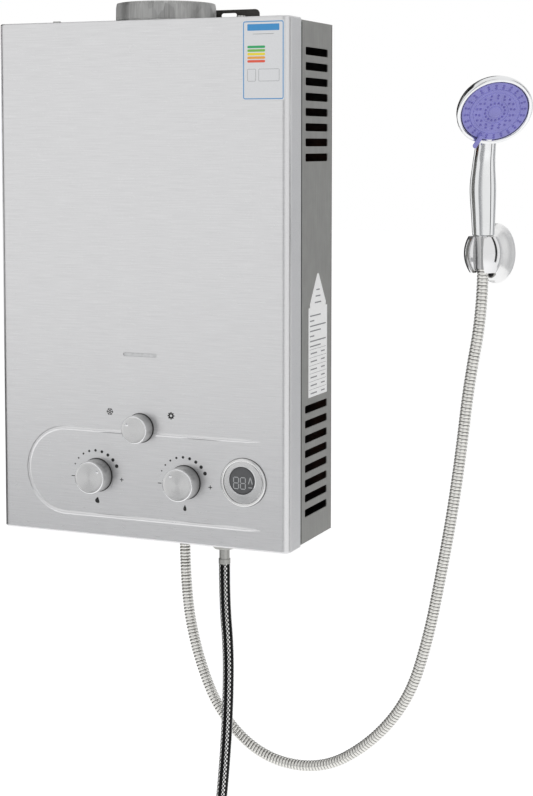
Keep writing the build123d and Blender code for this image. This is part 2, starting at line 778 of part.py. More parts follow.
flange_x = WATER_RIGHT + CHAMBER_T
with BuildPart() as water_valve_body:
    add(valve_block(WATER_LEFT, WATER_RIGHT, KNOB_SPREAD, COLD_IN_X))
    with BuildSketch(Plane.XY.offset(valve_high)):
        with Locations((COLD_OUT_X, VALVE_Y)):
            Circle(COLD_OUT_R)
    extrude(amount=COLD_OUT_H)
    with BuildSketch(Plane.YZ.offset(WATER_RIGHT)):
        with Locations((VALVE_Y, up(KNOB_HEIGHT))):
            Circle(CHAMBER_R)
    extrude(amount=CHAMBER_T)
    with BuildSketch(Plane.YZ.offset(flange_x)):
        with Locations((VALVE_Y, up(KNOB_HEIGHT))):
            Circle(CHAMBER_RECESS_R)
    extrude(amount=-CHAMBER_RECESS, mode=Mode.SUBTRACT)
    with BuildSketch(Plane.YZ.offset(flange_x)):
        with Locations((VALVE_Y, up(KNOB_HEIGHT))):
            Circle(ROD_R + FIT)
    extrude(amount=WATER_LEFT - flange_x, mode=Mode.SUBTRACT)
write(water_valve_body, "water_valve_body")

with BuildPart() as diaphragm:
    with BuildSketch(Plane.YZ.offset(flange_x)):
        with Locations((VALVE_Y, up(KNOB_HEIGHT))):
            Circle(CHAMBER_R - DIAPHRAGM_INSET)
    extrude(amount=DIAPHRAGM_T)
write(diaphragm, "diaphragm")

rod_axis = Axis((0, VALVE_Y, up(KNOB_HEIGHT)), (1, 0, 0))
rod_plane = Plane(origin=(0, VALVE_Y, up(KNOB_HEIGHT)), x_dir=(1, 0, 0), z_dir=(0, -1, 0))
cover_x = flange_x + DIAPHRAGM_T
with BuildPart() as diaphragm_cover:
    with BuildSketch(rod_plane):
        with BuildLine():
            Polyline(
                (cover_x, 0),
                (cover_x, CHAMBER_R),
                (cover_x + DOME_FLANGE, CHAMBER_R),
                (cover_x + DOME_FLANGE, DOME_R),
                (cover_x + DOME_H, DOME_TOP_R),
                (cover_x + DOME_H, 0),
                close=True,
            )
        make_face()
    revolve(axis=rod_axis)
write(diaphragm_cover, "diaphragm_cover")

plate_x = flange_x - SEAT - ROD_PLATE_T
with BuildPart() as push_rod:
    with BuildSketch(Plane.YZ.offset(rod_end)):
        with Locations((VALVE_Y, up(KNOB_HEIGHT))):
            Circle(ROD_R)
    extrude(amount=plate_x - rod_end)
    with BuildSketch(Plane.YZ.offset(plate_x)):
        with Locations((VALVE_Y, up(KNOB_HEIGHT))):
            Circle(ROD_PLATE_R)
    extrude(amount=ROD_PLATE_T)
write(push_rod, "push_rod")

switch_low = up(KNOB_HEIGHT) + ROD_R + SWITCH_GAP
with BuildPart() as microswitch:
    with BuildSketch(Plane.XY.offset(switch_low)):
        with Locations((GAS_RIGHT + SWITCH_W / 2, VALVE_Y)):
            Rectangle(SWITCH_W, SWITCH_D)
    extrude(amount=SWITCH_H)
    with BuildSketch(Plane.XY.offset(switch_low)):
        with Locations((GAS_RIGHT + SWITCH_W / 2, VALVE_Y)):
            Circle(SWITCH_BUTTON)
    extrude(amount=SEAT - SWITCH_GAP)
write(microswitch, "microswitch")

with BuildPart() as solenoid_valve:
    with BuildSketch(Plane.YZ.offset(gas_left)):
        with Locations((VALVE_Y, up(KNOB_HEIGHT))):
            Circle(SOLENOID_R)
    extrude(amount=-SOLENOID_L)
    with BuildSketch(Plane.YZ.offset(gas_left - SOLENOID_L)):
        with Locations((VALVE_Y, up(KNOB_HEIGHT))):
            Circle(SOLENOID_CAP_R)
    extrude(amount=-SOLENOID_CAP_L)
write(solenoid_valve, "solenoid_valve")

with BuildPart() as season_valve:
    with BuildSketch(Plane.XZ.offset(-boss_front)):
        with Locations((0, up(SEASON_HEIGHT))):
            Circle(SEASON_BODY_R)
    extrude(amount=boss_front - VALVE_Y - SEASON_BODY_L / 2)
    with BuildSketch(Plane.XY.offset(up(SEASON_JOIN))):
        with Locations((0, VALVE_Y)):
            Circle(NECK_R)
    extrude(amount=manifold_low - up(SEASON_JOIN))
    with BuildSketch(Plane.XZ.offset(-boss_front)):
        with Locations((0, up(SEASON_HEIGHT))):
            Circle(SPINDLE_R + FIT)
    extrude(amount=boss_front - seat_y, mode=Mode.SUBTRACT)
write(season_valve, "season_valve")


# Threaded nipples through the bottom plate, each with a hex collar on the plate
stub_end = CASE_BOTTOM - STUB_REACH
with BuildPart() as pipe_nipples:
    with BuildSketch(Plane.XY.offset(floor_z)):
        with Locations(*stub_places):
            RegularPolygon(STUB_HEX / 2, 6, major_radius=False)
    extrude(amount=up(STUB_TOP) - floor_z)
    with BuildSketch(Plane.XY.offset(floor_z)):
        with Locations(*stub_places):
            Circle(STUB_R - THREAD_RELIEF)
    extrude(amount=stub_end - floor_z)
    with BuildSketch(Plane.XY.offset(stub_end)):
        with Locations(*stub_places):
            Circle(STUB_R)
    extrude(amount=THREAD_L)
    with BuildSketch(Plane.XY.offset(up(STUB_TOP))):
        with Locations(*stub_places):
            Circle(STUB_BORE)
    extrude(amount=stub_end - up(STUB_TOP), mode=Mode.SUBTRACT)
write(pipe_nipples, "pipe_nipples")

cold_turn_z = valve_high + COLD_OUT_H + 2 * PIPE_BEND
cold_pipe = pipe(
    [
        (COLD_OUT_X, VALVE_Y, valve_high + COLD_OUT_H),
        (COLD_OUT_X, VALVE_Y, cold_turn_z),
        (PIPE_SIDE, front_pass, cold_turn_z),
        (PIPE_SIDE, front_pass, pass_z),
        (tube_end_x, front_pass, pass_z),
    ],
    PIPE_BEND,
)
write(cold_pipe, "cold_pipe")

hot_turn_z = up(STUB_TOP) + PIPE_BEND + FIT
hot_pipe = pipe(
    [
        (tube_end_x, rear_pass, pass_z),
        (PIPE_SIDE, rear_pass, pass_z),
        (PIPE_SIDE, HOT_Y, hot_turn_z),
        (HOT_X, HOT_Y, hot_turn_z),
        (HOT_X, HOT_Y, up(STUB_TOP)),
    ],
    PIPE_BEND,
)
write(hot_pipe, "hot_pipe")

# Spindles and knobs

knob_seat = CASE_D + KNOB_GAP


def spindle(x, z):
    """A valve spindle from its seat to the knob, with a flat where the knob grips it."""
    reach = KNOB_BORE - SEAT
    with BuildPart() as rod:
        with BuildSketch(Plane.XZ.offset(-seat_y + SEAT)):
            with Locations((x, z)):
                Circle(SPINDLE_R)
        extrude(amount=knob_seat + reach + seat_y - SEAT)
        with BuildSketch(Plane.XZ.offset(knob_seat + reach)):
            with Locations((x, z + SPINDLE_R)):
                Rectangle(2 * SPINDLE_R, 2 * SPINDLE_FLAT)
        extrude(amount=-reach, mode=Mode.SUBTRACT)
    return rod


def knob(x, z, radius, length, pointer):
    """A turned knob with a draft, a bright chamfer, a dished face and a pointer dimple."""
    lip = radius - KNOB_DRAFT - KNOB_CHAMFER
    with BuildPart() as turned:
        with BuildSketch(axial_plane(x, -knob_seat, z)):
            with BuildLine():
                Polyline(
                    (0, 0),
                    (radius, 0),
                    (radius - KNOB_DRAFT, length - KNOB_CHAMFER),
                    (lip, length),
                    (lip - KNOB_RIM, length),
                    (lip - KNOB_RIM - KNOB_DISH, length - KNOB_DISH),
                    (0, length - KNOB_DISH),
                    close=True,
                )
            make_face()
        revolve(axis=Axis((x, 0, z), (0, -1, 0)))
        with BuildSketch(Plane.XZ.offset(knob_seat)):
            with Locations((x, z)):
                Circle(SPINDLE_R + FIT)
            with Locations((x, z + SPINDLE_R + FIT)):
                Rectangle(2 * SPINDLE_R, 2 * SPINDLE_FLAT, mode=Mode.SUBTRACT)
        extrude(amount=KNOB_BORE, mode=Mode.SUBTRACT)
        with BuildSketch(Plane.XZ.offset(knob_seat + length)):
            with Locations((x, z)):
                with PolarLocations(radius - POINTER_INSET, 1, start_angle=pointer):
                    Circle(POINTER_R)
        extrude(amount=-2 * KNOB_DISH, mode=Mode.SUBTRACT)
    return turned


gas_spindle = spindle(-KNOB_SPREAD, up(KNOB_HEIGHT))
write(gas_spindle, "gas_spindle")
water_spindle = spindle(KNOB_SPREAD, up(KNOB_HEIGHT))
write(water_spindle, "water_spindle")
season_spindle = spindle(0, up(SEASON_HEIGHT))
write(season_spindle, "season_spindle")
gas_knob = knob(-KNOB_SPREAD, up(KNOB_HEIGHT), KNOB_R, KNOB_L, GAS_POINTER)
write(gas_knob, "gas_knob")
water_knob = knob(KNOB_SPREAD, up(KNOB_HEIGHT), KNOB_R, KNOB_L, WATER_POINTER)
write(water_knob, "water_knob")
season_knob = knob(0, up(SEASON_HEIGHT), SEASON_R, SEASON_L, SEASON_POINTER)
write(season_knob, "season_knob")

# Temperature display

display_z = up(DISPLAY_HEIGHT)
lens_place = (DISPLAY_X + LENS_SIDE, display_z + LENS_RISE)
rim_inner = BEZEL_R - BEZEL_RIM
barrel_in = BARREL_R - BARREL_WALL
with BuildPart() as display_bezel:
    with BuildSketch(axial_plane(DISPLAY_X, FRONT, display_z)):
        with BuildLine():
            Polyline(
                (0, 0),
                (barrel_in, 0),
                (barrel_in, -BARREL_L),
                (BARREL_R, -BARREL_L),
                (BARREL_R, 0),
                (BEZEL_R, 0),
                (BEZEL_R - BEZEL_RIM / 4, BEZEL_H - BEZEL_RIM / 4),
                (BEZEL_R - BEZEL_RIM / 2, BEZEL_H),
                (rim_inner, BEZEL_PLATE),
                (0, BEZEL_PLATE),
                close=True,
            )
        make_face()
    revolve(axis=Axis((DISPLAY_X, 0, display_z), (0, -1, 0)))
    with BuildSketch(FACE):
        with Locations(lens_place):
            Circle(LENS_R + FIT)
    extrude(amount=BEZEL_PLATE, mode=Mode.SUBTRACT)
write(display_bezel, "display_bezel")

with BuildPart() as display_lens:
    with BuildSketch(FACE.offset(BEZEL_PLATE - LENS_T)):
        with Locations(lens_place):
            Circle(LENS_R)
    extrude(amount=LENS_T - FIT)
write(display_lens, "display_lens")

with BuildPart() as display_module:
    with BuildSketch(FACE):
        with Locations((DISPLAY_X, display_z)):
            Circle(barrel_in - LAP)
    extrude(amount=-BARREL_L)
write(display_module, "display_module")

with BuildPart() as flame_window:
    with BuildSketch(FACE.offset(-SHEET)):
        with Locations((0, up(VIEW_HEIGHT))):
            Rectangle(VIEW_L + 2 * VIEW_LAP, VIEW_W + 2 * VIEW_LAP)
    extrude(amount=-SHEET)
write(flame_window, "flame_window")

with BuildPart() as case_screws:
    for head_z, outward in ((CASE_TOP, 1), (CASE_BOTTOM, -1)):
        for side in (-1, 1):
            place = (side * COVER_SCREW_X, FRONT + COVER_SCREW_IN)
            with BuildSketch(Plane.XY.offset(head_z)):
                with Locations(place):
                    Circle(SCREW_HEAD_R)
            extrude(amount=outward * SCREW_HEAD_H)
            with BuildSketch(Plane.XY.offset(head_z)):
                with Locations(place):
                    Circle(SCREW_R)
            extrude(amount=-outward * SCREW_L)
write(case_screws, "case_screws")

# Ignition box, battery box and their leads

igniter_x = -INNER_HALF + IGNITER_MARGIN + IGNITER_W / 2
igniter_y = -SHEET - IGNITER_D / 2
with BuildPart() as igniter_box:
    with BuildSketch(Plane.XY.offset(up(IGNITER_LOW))):
        with Locations((igniter_x, igniter_y)):
            RectangleRounded(IGNITER_W, IGNITER_D, IGNITER_ROUND)
    extrude(amount=IGNITER_H)
write(igniter_box, "igniter_box")

cell_z = floor_z + SEAT + CELL_R
box_top = cell_z + CELL_R + SEAT + BOX_WALL
box_y = (box_front_y + box_back_y) / 2
box_d = box_back_y - box_front_y
lug_x = box_w / 2 - LID_LAP - SEAT - LID_LUG_W / 2
with BuildPart() as battery_box:
    with BuildSketch(Plane.XY.offset(floor_z)):
        with Locations((box_x, box_y)):
            Rectangle(box_w, box_d)
    extrude(amount=box_top - floor_z)
    with BuildSketch(Plane.XY.offset(floor_z)):
        with Locations((box_x, box_y)):
            Rectangle(box_w - 2 * BOX_WALL, box_d - 2 * BOX_WALL)
    extrude(amount=box_top - BOX_WALL - floor_z, mode=Mode.SUBTRACT)
    lug_low = hinge_z - LID_BARREL_R
    lug_back = hinge_y + LID_BARREL_R
    with BuildSketch(Plane.XY.offset(lug_low)):
        with Locations((box_x, (box_back_y + lug_back) / 2)):
            with GridLocations(2 * lug_x, 0, 2, 1):
                Rectangle(LID_LUG_W, lug_back - box_back_y)
    extrude(amount=floor_z + LID_HINGE - lug_low)
    with BuildSketch(Plane.YZ.offset(box_low_x)):
        with Locations((hinge_y, hinge_z)):
            Circle(LID_PIN_R + FIT)
    extrude(amount=box_w, mode=Mode.SUBTRACT)
write(battery_box, "battery_box")

knuckle_w = 2 * lug_x - LID_LUG_W - 2 * LID_GAP
with BuildPart() as battery_lid:
    with BuildSketch(Plane.XY.offset(lid_top)):
        with Locations((box_x, (box_front_y + box_back_y) / 2 - LID_GAP)):
            Rectangle(box_w, box_d - 2 * LID_GAP)
        with Locations((box_x, (box_y + hinge_y) / 2)):
            Rectangle(knuckle_w, hinge_y - box_y)
    extrude(amount=-LID_T)
    with BuildSketch(Plane.YZ.offset(box_x - knuckle_w / 2)):
        with Locations((hinge_y, hinge_z)):
            Circle(LID_BARREL_R)
    extrude(amount=knuckle_w)
    with BuildSketch(Plane.YZ.offset(box_x - knuckle_w / 2)):
        with Locations((hinge_y, hinge_z)):
            Circle(LID_PIN_R + FIT)
    extrude(amount=knuckle_w, mode=Mode.SUBTRACT)
write(battery_lid, "battery_lid")

with BuildPart() as battery_lid_pin:
    with BuildSketch(Plane.YZ.offset(box_x - lug_x - LID_LUG_W / 2)):
        with Locations((hinge_y, hinge_z)):
            Circle(LID_PIN_R)
    extrude(amount=2 * lug_x + LID_LUG_W)
write(battery_lid_pin, "battery_lid_pin")

with BuildPart() as batteries:
    with BuildSketch(Plane.XZ.offset(-box_front_y - BOX_WALL - SEAT)):
        with Locations((cell_left + CELL_R, cell_z), (cell_left + 3 * CELL_R + SEAT, cell_z)):
            Circle(CELL_R)
    extrude(amount=-CELL_L)
write(batteries, "batteries")


def lead(points):
    """A round insulated wire along straight runs and round corners."""
    with BuildPart() as wire:
        with BuildLine() as route:
            FilletPolyline(*points, radius=LEAD_BEND)
        start = Plane(origin=points[0], z_dir=Vector(*points[1]) - Vector(*points[0]))
        with BuildSketch(start):
            Circle(LEAD_R)
        sweep(path=route.wire())
    return wire


igniter_top = up(IGNITER_LOW + IGNITER_H)
lead_front = shell_front - ELECTRODE_OUT / 2
ignition_lead = lead(
    [
        (igniter_x, igniter_y, igniter_top),
        (igniter_x, igniter_y, electrode_z),
        (igniter_x, lead_front, electrode_z),
        (-ELECTRODE_X - ELECTRODE_R - SEAT, lead_front, electrode_z),
    ]
)
write(ignition_lead, "ignition_lead")

battery_lead_y = box_back_y - LEAD_BEND / 2
with BuildPart() as battery_lead:
    with BuildSketch(Plane.XY.offset(box_top)):
        with Locations((igniter_x, battery_lead_y)):
            Circle(LEAD_R)
    extrude(amount=up(IGNITER_LOW) - box_top)
write(battery_lead, "battery_lead")

# Hose nuts and washers

washer_low = stub_end - WASHER_T


def union_nut(x, y, top, seat_z, neck):
    """A hex union nut: a wide bore down to its seat and a neck hole below it."""
    with BuildPart() as nut:
        with BuildSketch(Plane.XY.offset(top)):
            with Locations((x, y)):
                RegularPolygon(HOSE_NUT_HEX / 2, 6, major_radius=False)
        extrude(amount=-HOSE_NUT_H)
        with BuildSketch(Plane.XY.offset(top)):
            with Locations((x, y)):
                Circle(STUB_R + FIT)
        extrude(amount=seat_z - top, mode=Mode.SUBTRACT)
        with BuildSketch(Plane.XY.offset(top)):
            with Locations((x, y)):
                Circle(neck)
        extrude(amount=-HOSE_NUT_H, mode=Mode.SUBTRACT)
    return nut


nut_top = CASE_BOTTOM - HOSE_NUT_TOP
shower_hose_nut = union_nut(HOT_X, HOT_Y, nut_top, washer_low, HOSE_R + LAP)
write(shower_hose_nut, "shower_hose_nut")
inlet_hose_nut = union_nut(COLD_IN_X, VALVE_Y, nut_top, washer_low, TAIL_R + LAP)
write(inlet_hose_nut, "inlet_hose_nut")

with BuildPart() as hose_washers:
    with BuildSketch(Plane.XY.offset(stub_end)):
        with Locations((HOT_X, HOT_Y), (COLD_IN_X, VALVE_Y)):
            Circle(WASHER_R)
            Circle(HOSE_BORE, mode=Mode.SUBTRACT)
    extrude(amount=-WASHER_T)
write(hose_washers, "hose_washers")

# Shower hose: one ribbed tube with its bore, plain for a diameter at each end

hand_y = -HOLDER_REACH
cone_low = up(CONE_LOW)
cone_top = up(CONE_LOW + CONE_H)
hose_top = cone_low + CONE_SOCKET - SEAT
HOSE_ROUTE = [
    (HOT_X, HOT_Y, washer_low),
    (HOT_X, HOT_Y, -615),
    (21, -31, -685),
    (50, -33, -749),
    (102, -35, -789),
    (170, -38, -790),
    (226, -40, -752),
    (266, -42, -700),
    (286, -44, -636),
    (299, -46, -572),
    (311, -47, -506),
    (320, -48, -442),
    (328, -49, -371),
    (HOLDER_X, hand_y, -298),
    (HOLDER_X, hand_y, hose_top),
]
print("shower hose bends", [round(r) for r in radii(HOSE_ROUTE)])


def along(route, distance):
    """A plane square to a route, with its X axis kept steady across the wall's normal."""
    heading = route.tangent_at(distance, position_mode=PositionMode.LENGTH)
    place = route.position_at(distance, position_mode=PositionMode.LENGTH)
    steady = Vector(0, 1, 0) - heading * heading.Y
    return Plane(origin=place, x_dir=steady, z_dir=heading)


with BuildLine() as hose_line:
    FilletPolyline(*HOSE_ROUTE, radius=radii(HOSE_ROUTE))
hose_path = hose_line.wire()
hose_length = hose_path.length
plain_end = 2 * HOSE_R
rib_pitch = (hose_length - 2 * plain_end) / HOSE_RIBS
print("shower hose length", round(hose_length))

rib_sections = [(0, HOSE_R), (plain_end - rib_pitch / 5, HOSE_R)]
for rib in range(HOSE_RIBS):
    rib_start = plain_end + rib * rib_pitch
    for share, radius in ((0, HOSE_ROOT), (0.2, HOSE_R), (0.6, HOSE_R), (0.8, HOSE_ROOT)):
        rib_sections.append((rib_start + share * rib_pitch, radius))
rib_sections.append((hose_length - plain_end, HOSE_R))
rib_sections.append((hose_length, HOSE_R))

with BuildPart() as shower_hose:
    for distance, radius in rib_sections:
        with BuildSketch(along(hose_path, distance)):
            Circle(radius)
    loft(ruled=True)
    for stop in range(HOSE_RIBS // 2 + 1):
        with BuildSketch(along(hose_path, hose_length * stop / (HOSE_RIBS // 2))):
            Circle(HOSE_BORE)
    loft(ruled=True, mode=Mode.SUBTRACT)
write(shower_hose, "shower_hose")

# Inlet hose: crimped tails at both ends of a braided tube

tail_low = washer_low - TAIL_L
braid_top = tail_low - CRIMP_BAND
INLET_ROUTE = [
    (COLD_IN_X, VALVE_Y, braid_top),
    (COLD_IN_X, VALVE_Y, -617),
    (70.5, VALVE_Y, -668),
    (69.8, VALVE_Y, -723),
    (67, VALVE_Y, -775),
    (62.5, VALVE_Y, -826),
    (57, VALVE_Y, -874),
    (57, VALVE_Y, -921),
]
print("inlet hose bends", [round(r) for r in radii(INLET_ROUTE)])
with BuildPart() as inlet_hose:
    with BuildLine() as inlet_line:
        FilletPolyline(*INLET_ROUTE, radius=radii(INLET_ROUTE))
    with BuildSketch(Plane.XY.offset(braid_top)):
        with Locations((COLD_IN_X, VALVE_Y)):
            Circle(BRAID_R)
            Circle(HOSE_BORE, mode=Mode.SUBTRACT)
    sweep(path=inlet_line.wire())
print("inlet hose length", round(inlet_line.wire().length))
write(inlet_hose, "inlet_hose")


free_x, _, braid_low = INLET_ROUTE[-1]
free_tail = braid_low - CRIMP_BAND - TAIL_L
with BuildPart() as inlet_hose_ferrules:
    for tail_x, band_z, outward in ((COLD_IN_X, braid_top, 1), (free_x, braid_low, -1)):
        for radius, reach, fate in (
            (CRIMP_R, CRIMP_BAND, Mode.ADD),
            (TAIL_R, CRIMP_BAND + TAIL_L, Mode.ADD),
            (HOSE_BORE, CRIMP_BAND + TAIL_L, Mode.SUBTRACT),
        ):
            with BuildSketch(Plane.XY.offset(band_z)):
                with Locations((tail_x, VALVE_Y)):
                    Circle(radius)
            extrude(amount=outward * reach, mode=fate)
write(inlet_hose_ferrules, "inlet_hose_ferrules")

free_nut_low = free_tail - HOSE_NUT_H + HOSE_NUT_TOP
with BuildPart() as inlet_hose_free_nut:
    with BuildSketch(Plane.XY.offset(free_nut_low)):
        with Locations((free_x, VALVE_Y)):
            RegularPolygon(HOSE_NUT_HEX / 2, 6, major_radius=False)
    extrude(amount=HOSE_NUT_H)
    with BuildSketch(Plane.XY.offset(free_nut_low)):
        with Locations((free_x, VALVE_Y)):
            Circle(STUB_R + FIT)
    extrude(amount=free_tail - free_nut_low, mode=Mode.SUBTRACT)
    with BuildSketch(Plane.XY.offset(free_nut_low)):
        with Locations((free_x, VALVE_Y)):
            Circle(TAIL_R + LAP)
    extrude(amount=HOSE_NUT_H, mode=Mode.SUBTRACT)
write(inlet_hose_free_nut, "inlet_hose_free_nut")

# Shower holder: an oval dome on the wall that carries an open tapered cup

base_z = up(HOLDER_Z)
cup_low = up(CUP_LOW)
cup_axis = Axis((HOLDER_X, hand_y, 0), (0, 0, 1))
cone_slope = (CONE_HIGH_R - CONE_LOW_R) / CONE_H
recess = PLATE_T + SCREW_HEAD_H + LAP
DOME_FORM = [(0, 1.0, 1.0), (0.2, 0.97, 0.955), (0.44, 0.83, 0.78), (0.72, 0.65, 0.57)]
with BuildPart() as holder_body:
    for out, wide, tall in DOME_FORM:
        with BuildSketch(Plane.XZ.offset(out * HOLDER_REACH)):
            with Locations((HOLDER_X, base_z)):
                Ellipse(wide * BASE_W / 2, tall * BASE_H / 2)
    loft()
    with BuildSketch(Plane(origin=(HOLDER_X, hand_y, cup_low), x_dir=(1, 0, 0), z_dir=(0, -1, 0))):
        with BuildLine():
            Polyline((CUP_TOP_R, CUP_H), (0, CUP_H), (0, 0), (CUP_LOW_R, 0))
            ThreePointArc((CUP_LOW_R, 0), (CUP_R, CUP_H / 2), (CUP_TOP_R, CUP_H))
        make_face()
    revolve(axis=cup_axis)
    with BuildSketch(Plane.XY.offset(cup_low)):
        with Locations((HOLDER_X, hand_y)):
            Circle(CONE_LOW_R + SEAT - cone_slope * (cone_low - cup_low))
    with BuildSketch(Plane.XY.offset(cup_low + CUP_H)):
        with Locations((HOLDER_X, hand_y)):
            Circle(CONE_LOW_R + SEAT + cone_slope * (cup_low + CUP_H - cone_low))
    loft(mode=Mode.SUBTRACT)
    with BuildSketch(Plane.XY.offset(cup_low)):
        with Locations((HOLDER_X, hand_y - CUP_R)):
            Rectangle(CUP_GAP, 2 * CUP_R)
    extrude(amount=CUP_H, mode=Mode.SUBTRACT)
    with BuildSketch(Plane.XZ):
        with Locations((HOLDER_X, base_z)):
            Ellipse(BASE_W / 2 - PLATE_MARGIN + LAP, BASE_H / 2 - PLATE_MARGIN + LAP)
    extrude(amount=recess, mode=Mode.SUBTRACT)
    with BuildSketch(Plane.XY.offset(base_z - BASE_H / 2)):
        with Locations((HOLDER_X, -SET_SCREW_OUT)):
            Circle(SET_SCREW_R + FIT)
    extrude(amount=SET_SCREW_HOLE, mode=Mode.SUBTRACT)
write(holder_body, "holder_body")

with BuildPart() as holder_plate:
    with BuildSketch(Plane.XZ):
        with Locations((HOLDER_X, base_z)):
            Ellipse(BASE_W / 2 - PLATE_MARGIN, BASE_H / 2 - PLATE_MARGIN)
            with GridLocations(0, PLATE_HOLES, 1, 2):
                Circle(PLATE_HOLE_R, mode=Mode.SUBTRACT)
    extrude(amount=PLATE_T)
write(holder_plate, "holder_plate")

with BuildPart() as holder_screws:
    with BuildSketch(Plane.XZ):
        with Locations((HOLDER_X, base_z)):
            with GridLocations(0, PLATE_HOLES, 1, 2):
                Circle(SCREW_R)
    extrude(amount=PLATE_T)
    with BuildSketch(Plane.XZ.offset(PLATE_T)):
        with Locations((HOLDER_X, base_z)):
            with GridLocations(0, PLATE_HOLES, 1, 2):
                Circle(SCREW_HEAD_R)
    extrude(amount=SCREW_HEAD_H)
write(holder_screws, "holder_screws")

with BuildPart() as holder_set_screw:
    with BuildSketch(Plane.XY.offset(base_z - BASE_H / 2 + SET_SCREW_HOLE)):
        with Locations((HOLDER_X, -SET_SCREW_OUT)):
            Circle(SET_SCREW_R)
    extrude(amount=-SET_SCREW_L)
write(holder_set_screw, "holder_set_screw")

# Cone nut at the hose's upper end, which rests in the holder's cup

with BuildPart() as shower_cone_nut:
    with BuildSketch(Plane.XY.offset(cone_low)):
        with Locations((HOLDER_X, hand_y)):
            Circle(CONE_LOW_R)
    with BuildSketch(Plane.XY.offset(cone_top)):
        with Locations((HOLDER_X, hand_y)):
            Circle(CONE_HIGH_R)
    loft()
    with BuildSketch(Plane.XY.offset(cone_low)):
        with Locations((HOLDER_X, hand_y)):
            Circle(HOSE_R + SEAT)
    extrude(amount=CONE_SOCKET, mode=Mode.SUBTRACT)
    with BuildSketch(Plane.XY.offset(cone_low)):
        with Locations((HOLDER_X, hand_y)):
            Circle(HOSE_BORE)
    extrude(amount=CONE_H, mode=Mode.SUBTRACT)
    with BuildSketch(Plane.XY.offset(cone_top)):
        with Locations((HOLDER_X, hand_y)):
            Circle(SPIGOT_R + FIT)
    extrude(amount=-SPIGOT_L, mode=Mode.SUBTRACT)
write(shower_cone_nut, "shower_cone_nut")

# Handset: a faceted handle that bends forward into a round head

hand_low = cone_top + HAND_GAP
hand_turn = radians(HAND_TURN)
face_tilt = radians(FACE_TILT)
across = Vector(cos(hand_turn), sin(hand_turn), 0)
facing = Vector(sin(hand_turn), -cos(hand_turn), 0)
upward = Vector(0, 0, 1)
hand_foot = Vector(HOLDER_X, hand_y, hand_low)
spray_centre = Vector(HOLDER_X, hand_y, up(FACE_HEIGHT)) + facing * FACE_AHEAD
spray_normal = facing * cos(face_tilt) - upward * sin(face_tilt)
SPRAY = Plane(origin=spray_centre, x_dir=across, z_dir=spray_normal)
SPRAY_SIDE = Plane(origin=spray_centre, x_dir=across, z_dir=-SPRAY.y_dir)
spray_axis = Axis(spray_centre, spray_normal)


def handle_section(height, ahead, tilt):
    """A plane across the handle: its height, how far it leans ahead and its tilt in degrees."""
    heading = facing * sin(radians(tilt)) + upward * cos(radians(tilt))
    place = hand_foot + upward * height + facing * ahead
    return Plane(origin=place, x_dir=across, z_dir=heading)


with BuildPart() as handset_body:
    for height, ahead, tilt, radius in HANDLE_FORM:
        with BuildSketch(handle_section(height, ahead, tilt)):
            RegularPolygon(radius, HANDLE_FACETS, rotation=180 / HANDLE_FACETS)
    loft()
    for depth, radius in BOWL_FORM:
        with BuildSketch(SPRAY.offset(-depth)):
            Circle(radius)
    loft()
    with BuildSketch(SPRAY.offset(-RIM_BACK)):
        Circle(RIM_R + LAP)
    extrude(amount=RIM_R, mode=Mode.SUBTRACT)
    with BuildSketch(SPRAY.offset(-RIM_BACK)):
        Circle(AXLE_R + FIT)
    extrude(amount=-AXLE_L, mode=Mode.SUBTRACT)
    with BuildSketch(Plane.XY.offset(hand_low)):
        with Locations((HOLDER_X, hand_y)):
            Circle(SPIGOT_R)
    extrude(amount=SEAT - SPIGOT_L)
    with BuildSketch(Plane.XY.offset(hand_low - SPIGOT_L)):
        with Locations((HOLDER_X, hand_y)):
            Circle(HOSE_BORE)
    extrude(amount=SPIGOT_L + HANDLE_BORE, mode=Mode.SUBTRACT)
write(handset_body, "handset_body")

rim_in = FACE_R + SEAT
rim_soft = (RIM_R - rim_in) / 3
with BuildPart() as handset_rim:
    with BuildSketch(SPRAY_SIDE):
        with BuildLine():
            Polyline(
                (rim_in, -RIM_BACK),
                (RIM_R, -RIM_BACK),
                (RIM_R, RIM_FRONT - rim_soft),
                (RIM_R - rim_soft, RIM_FRONT),
                (rim_in + rim_soft, RIM_FRONT),
                (rim_in, RIM_FRONT - rim_soft),
                close=True,
            )
        make_face()
    revolve(axis=spray_axis)
write(handset_rim, "handset_rim")

# Spray plate: a ringed disc that turns on its axle, with a lever past the rim

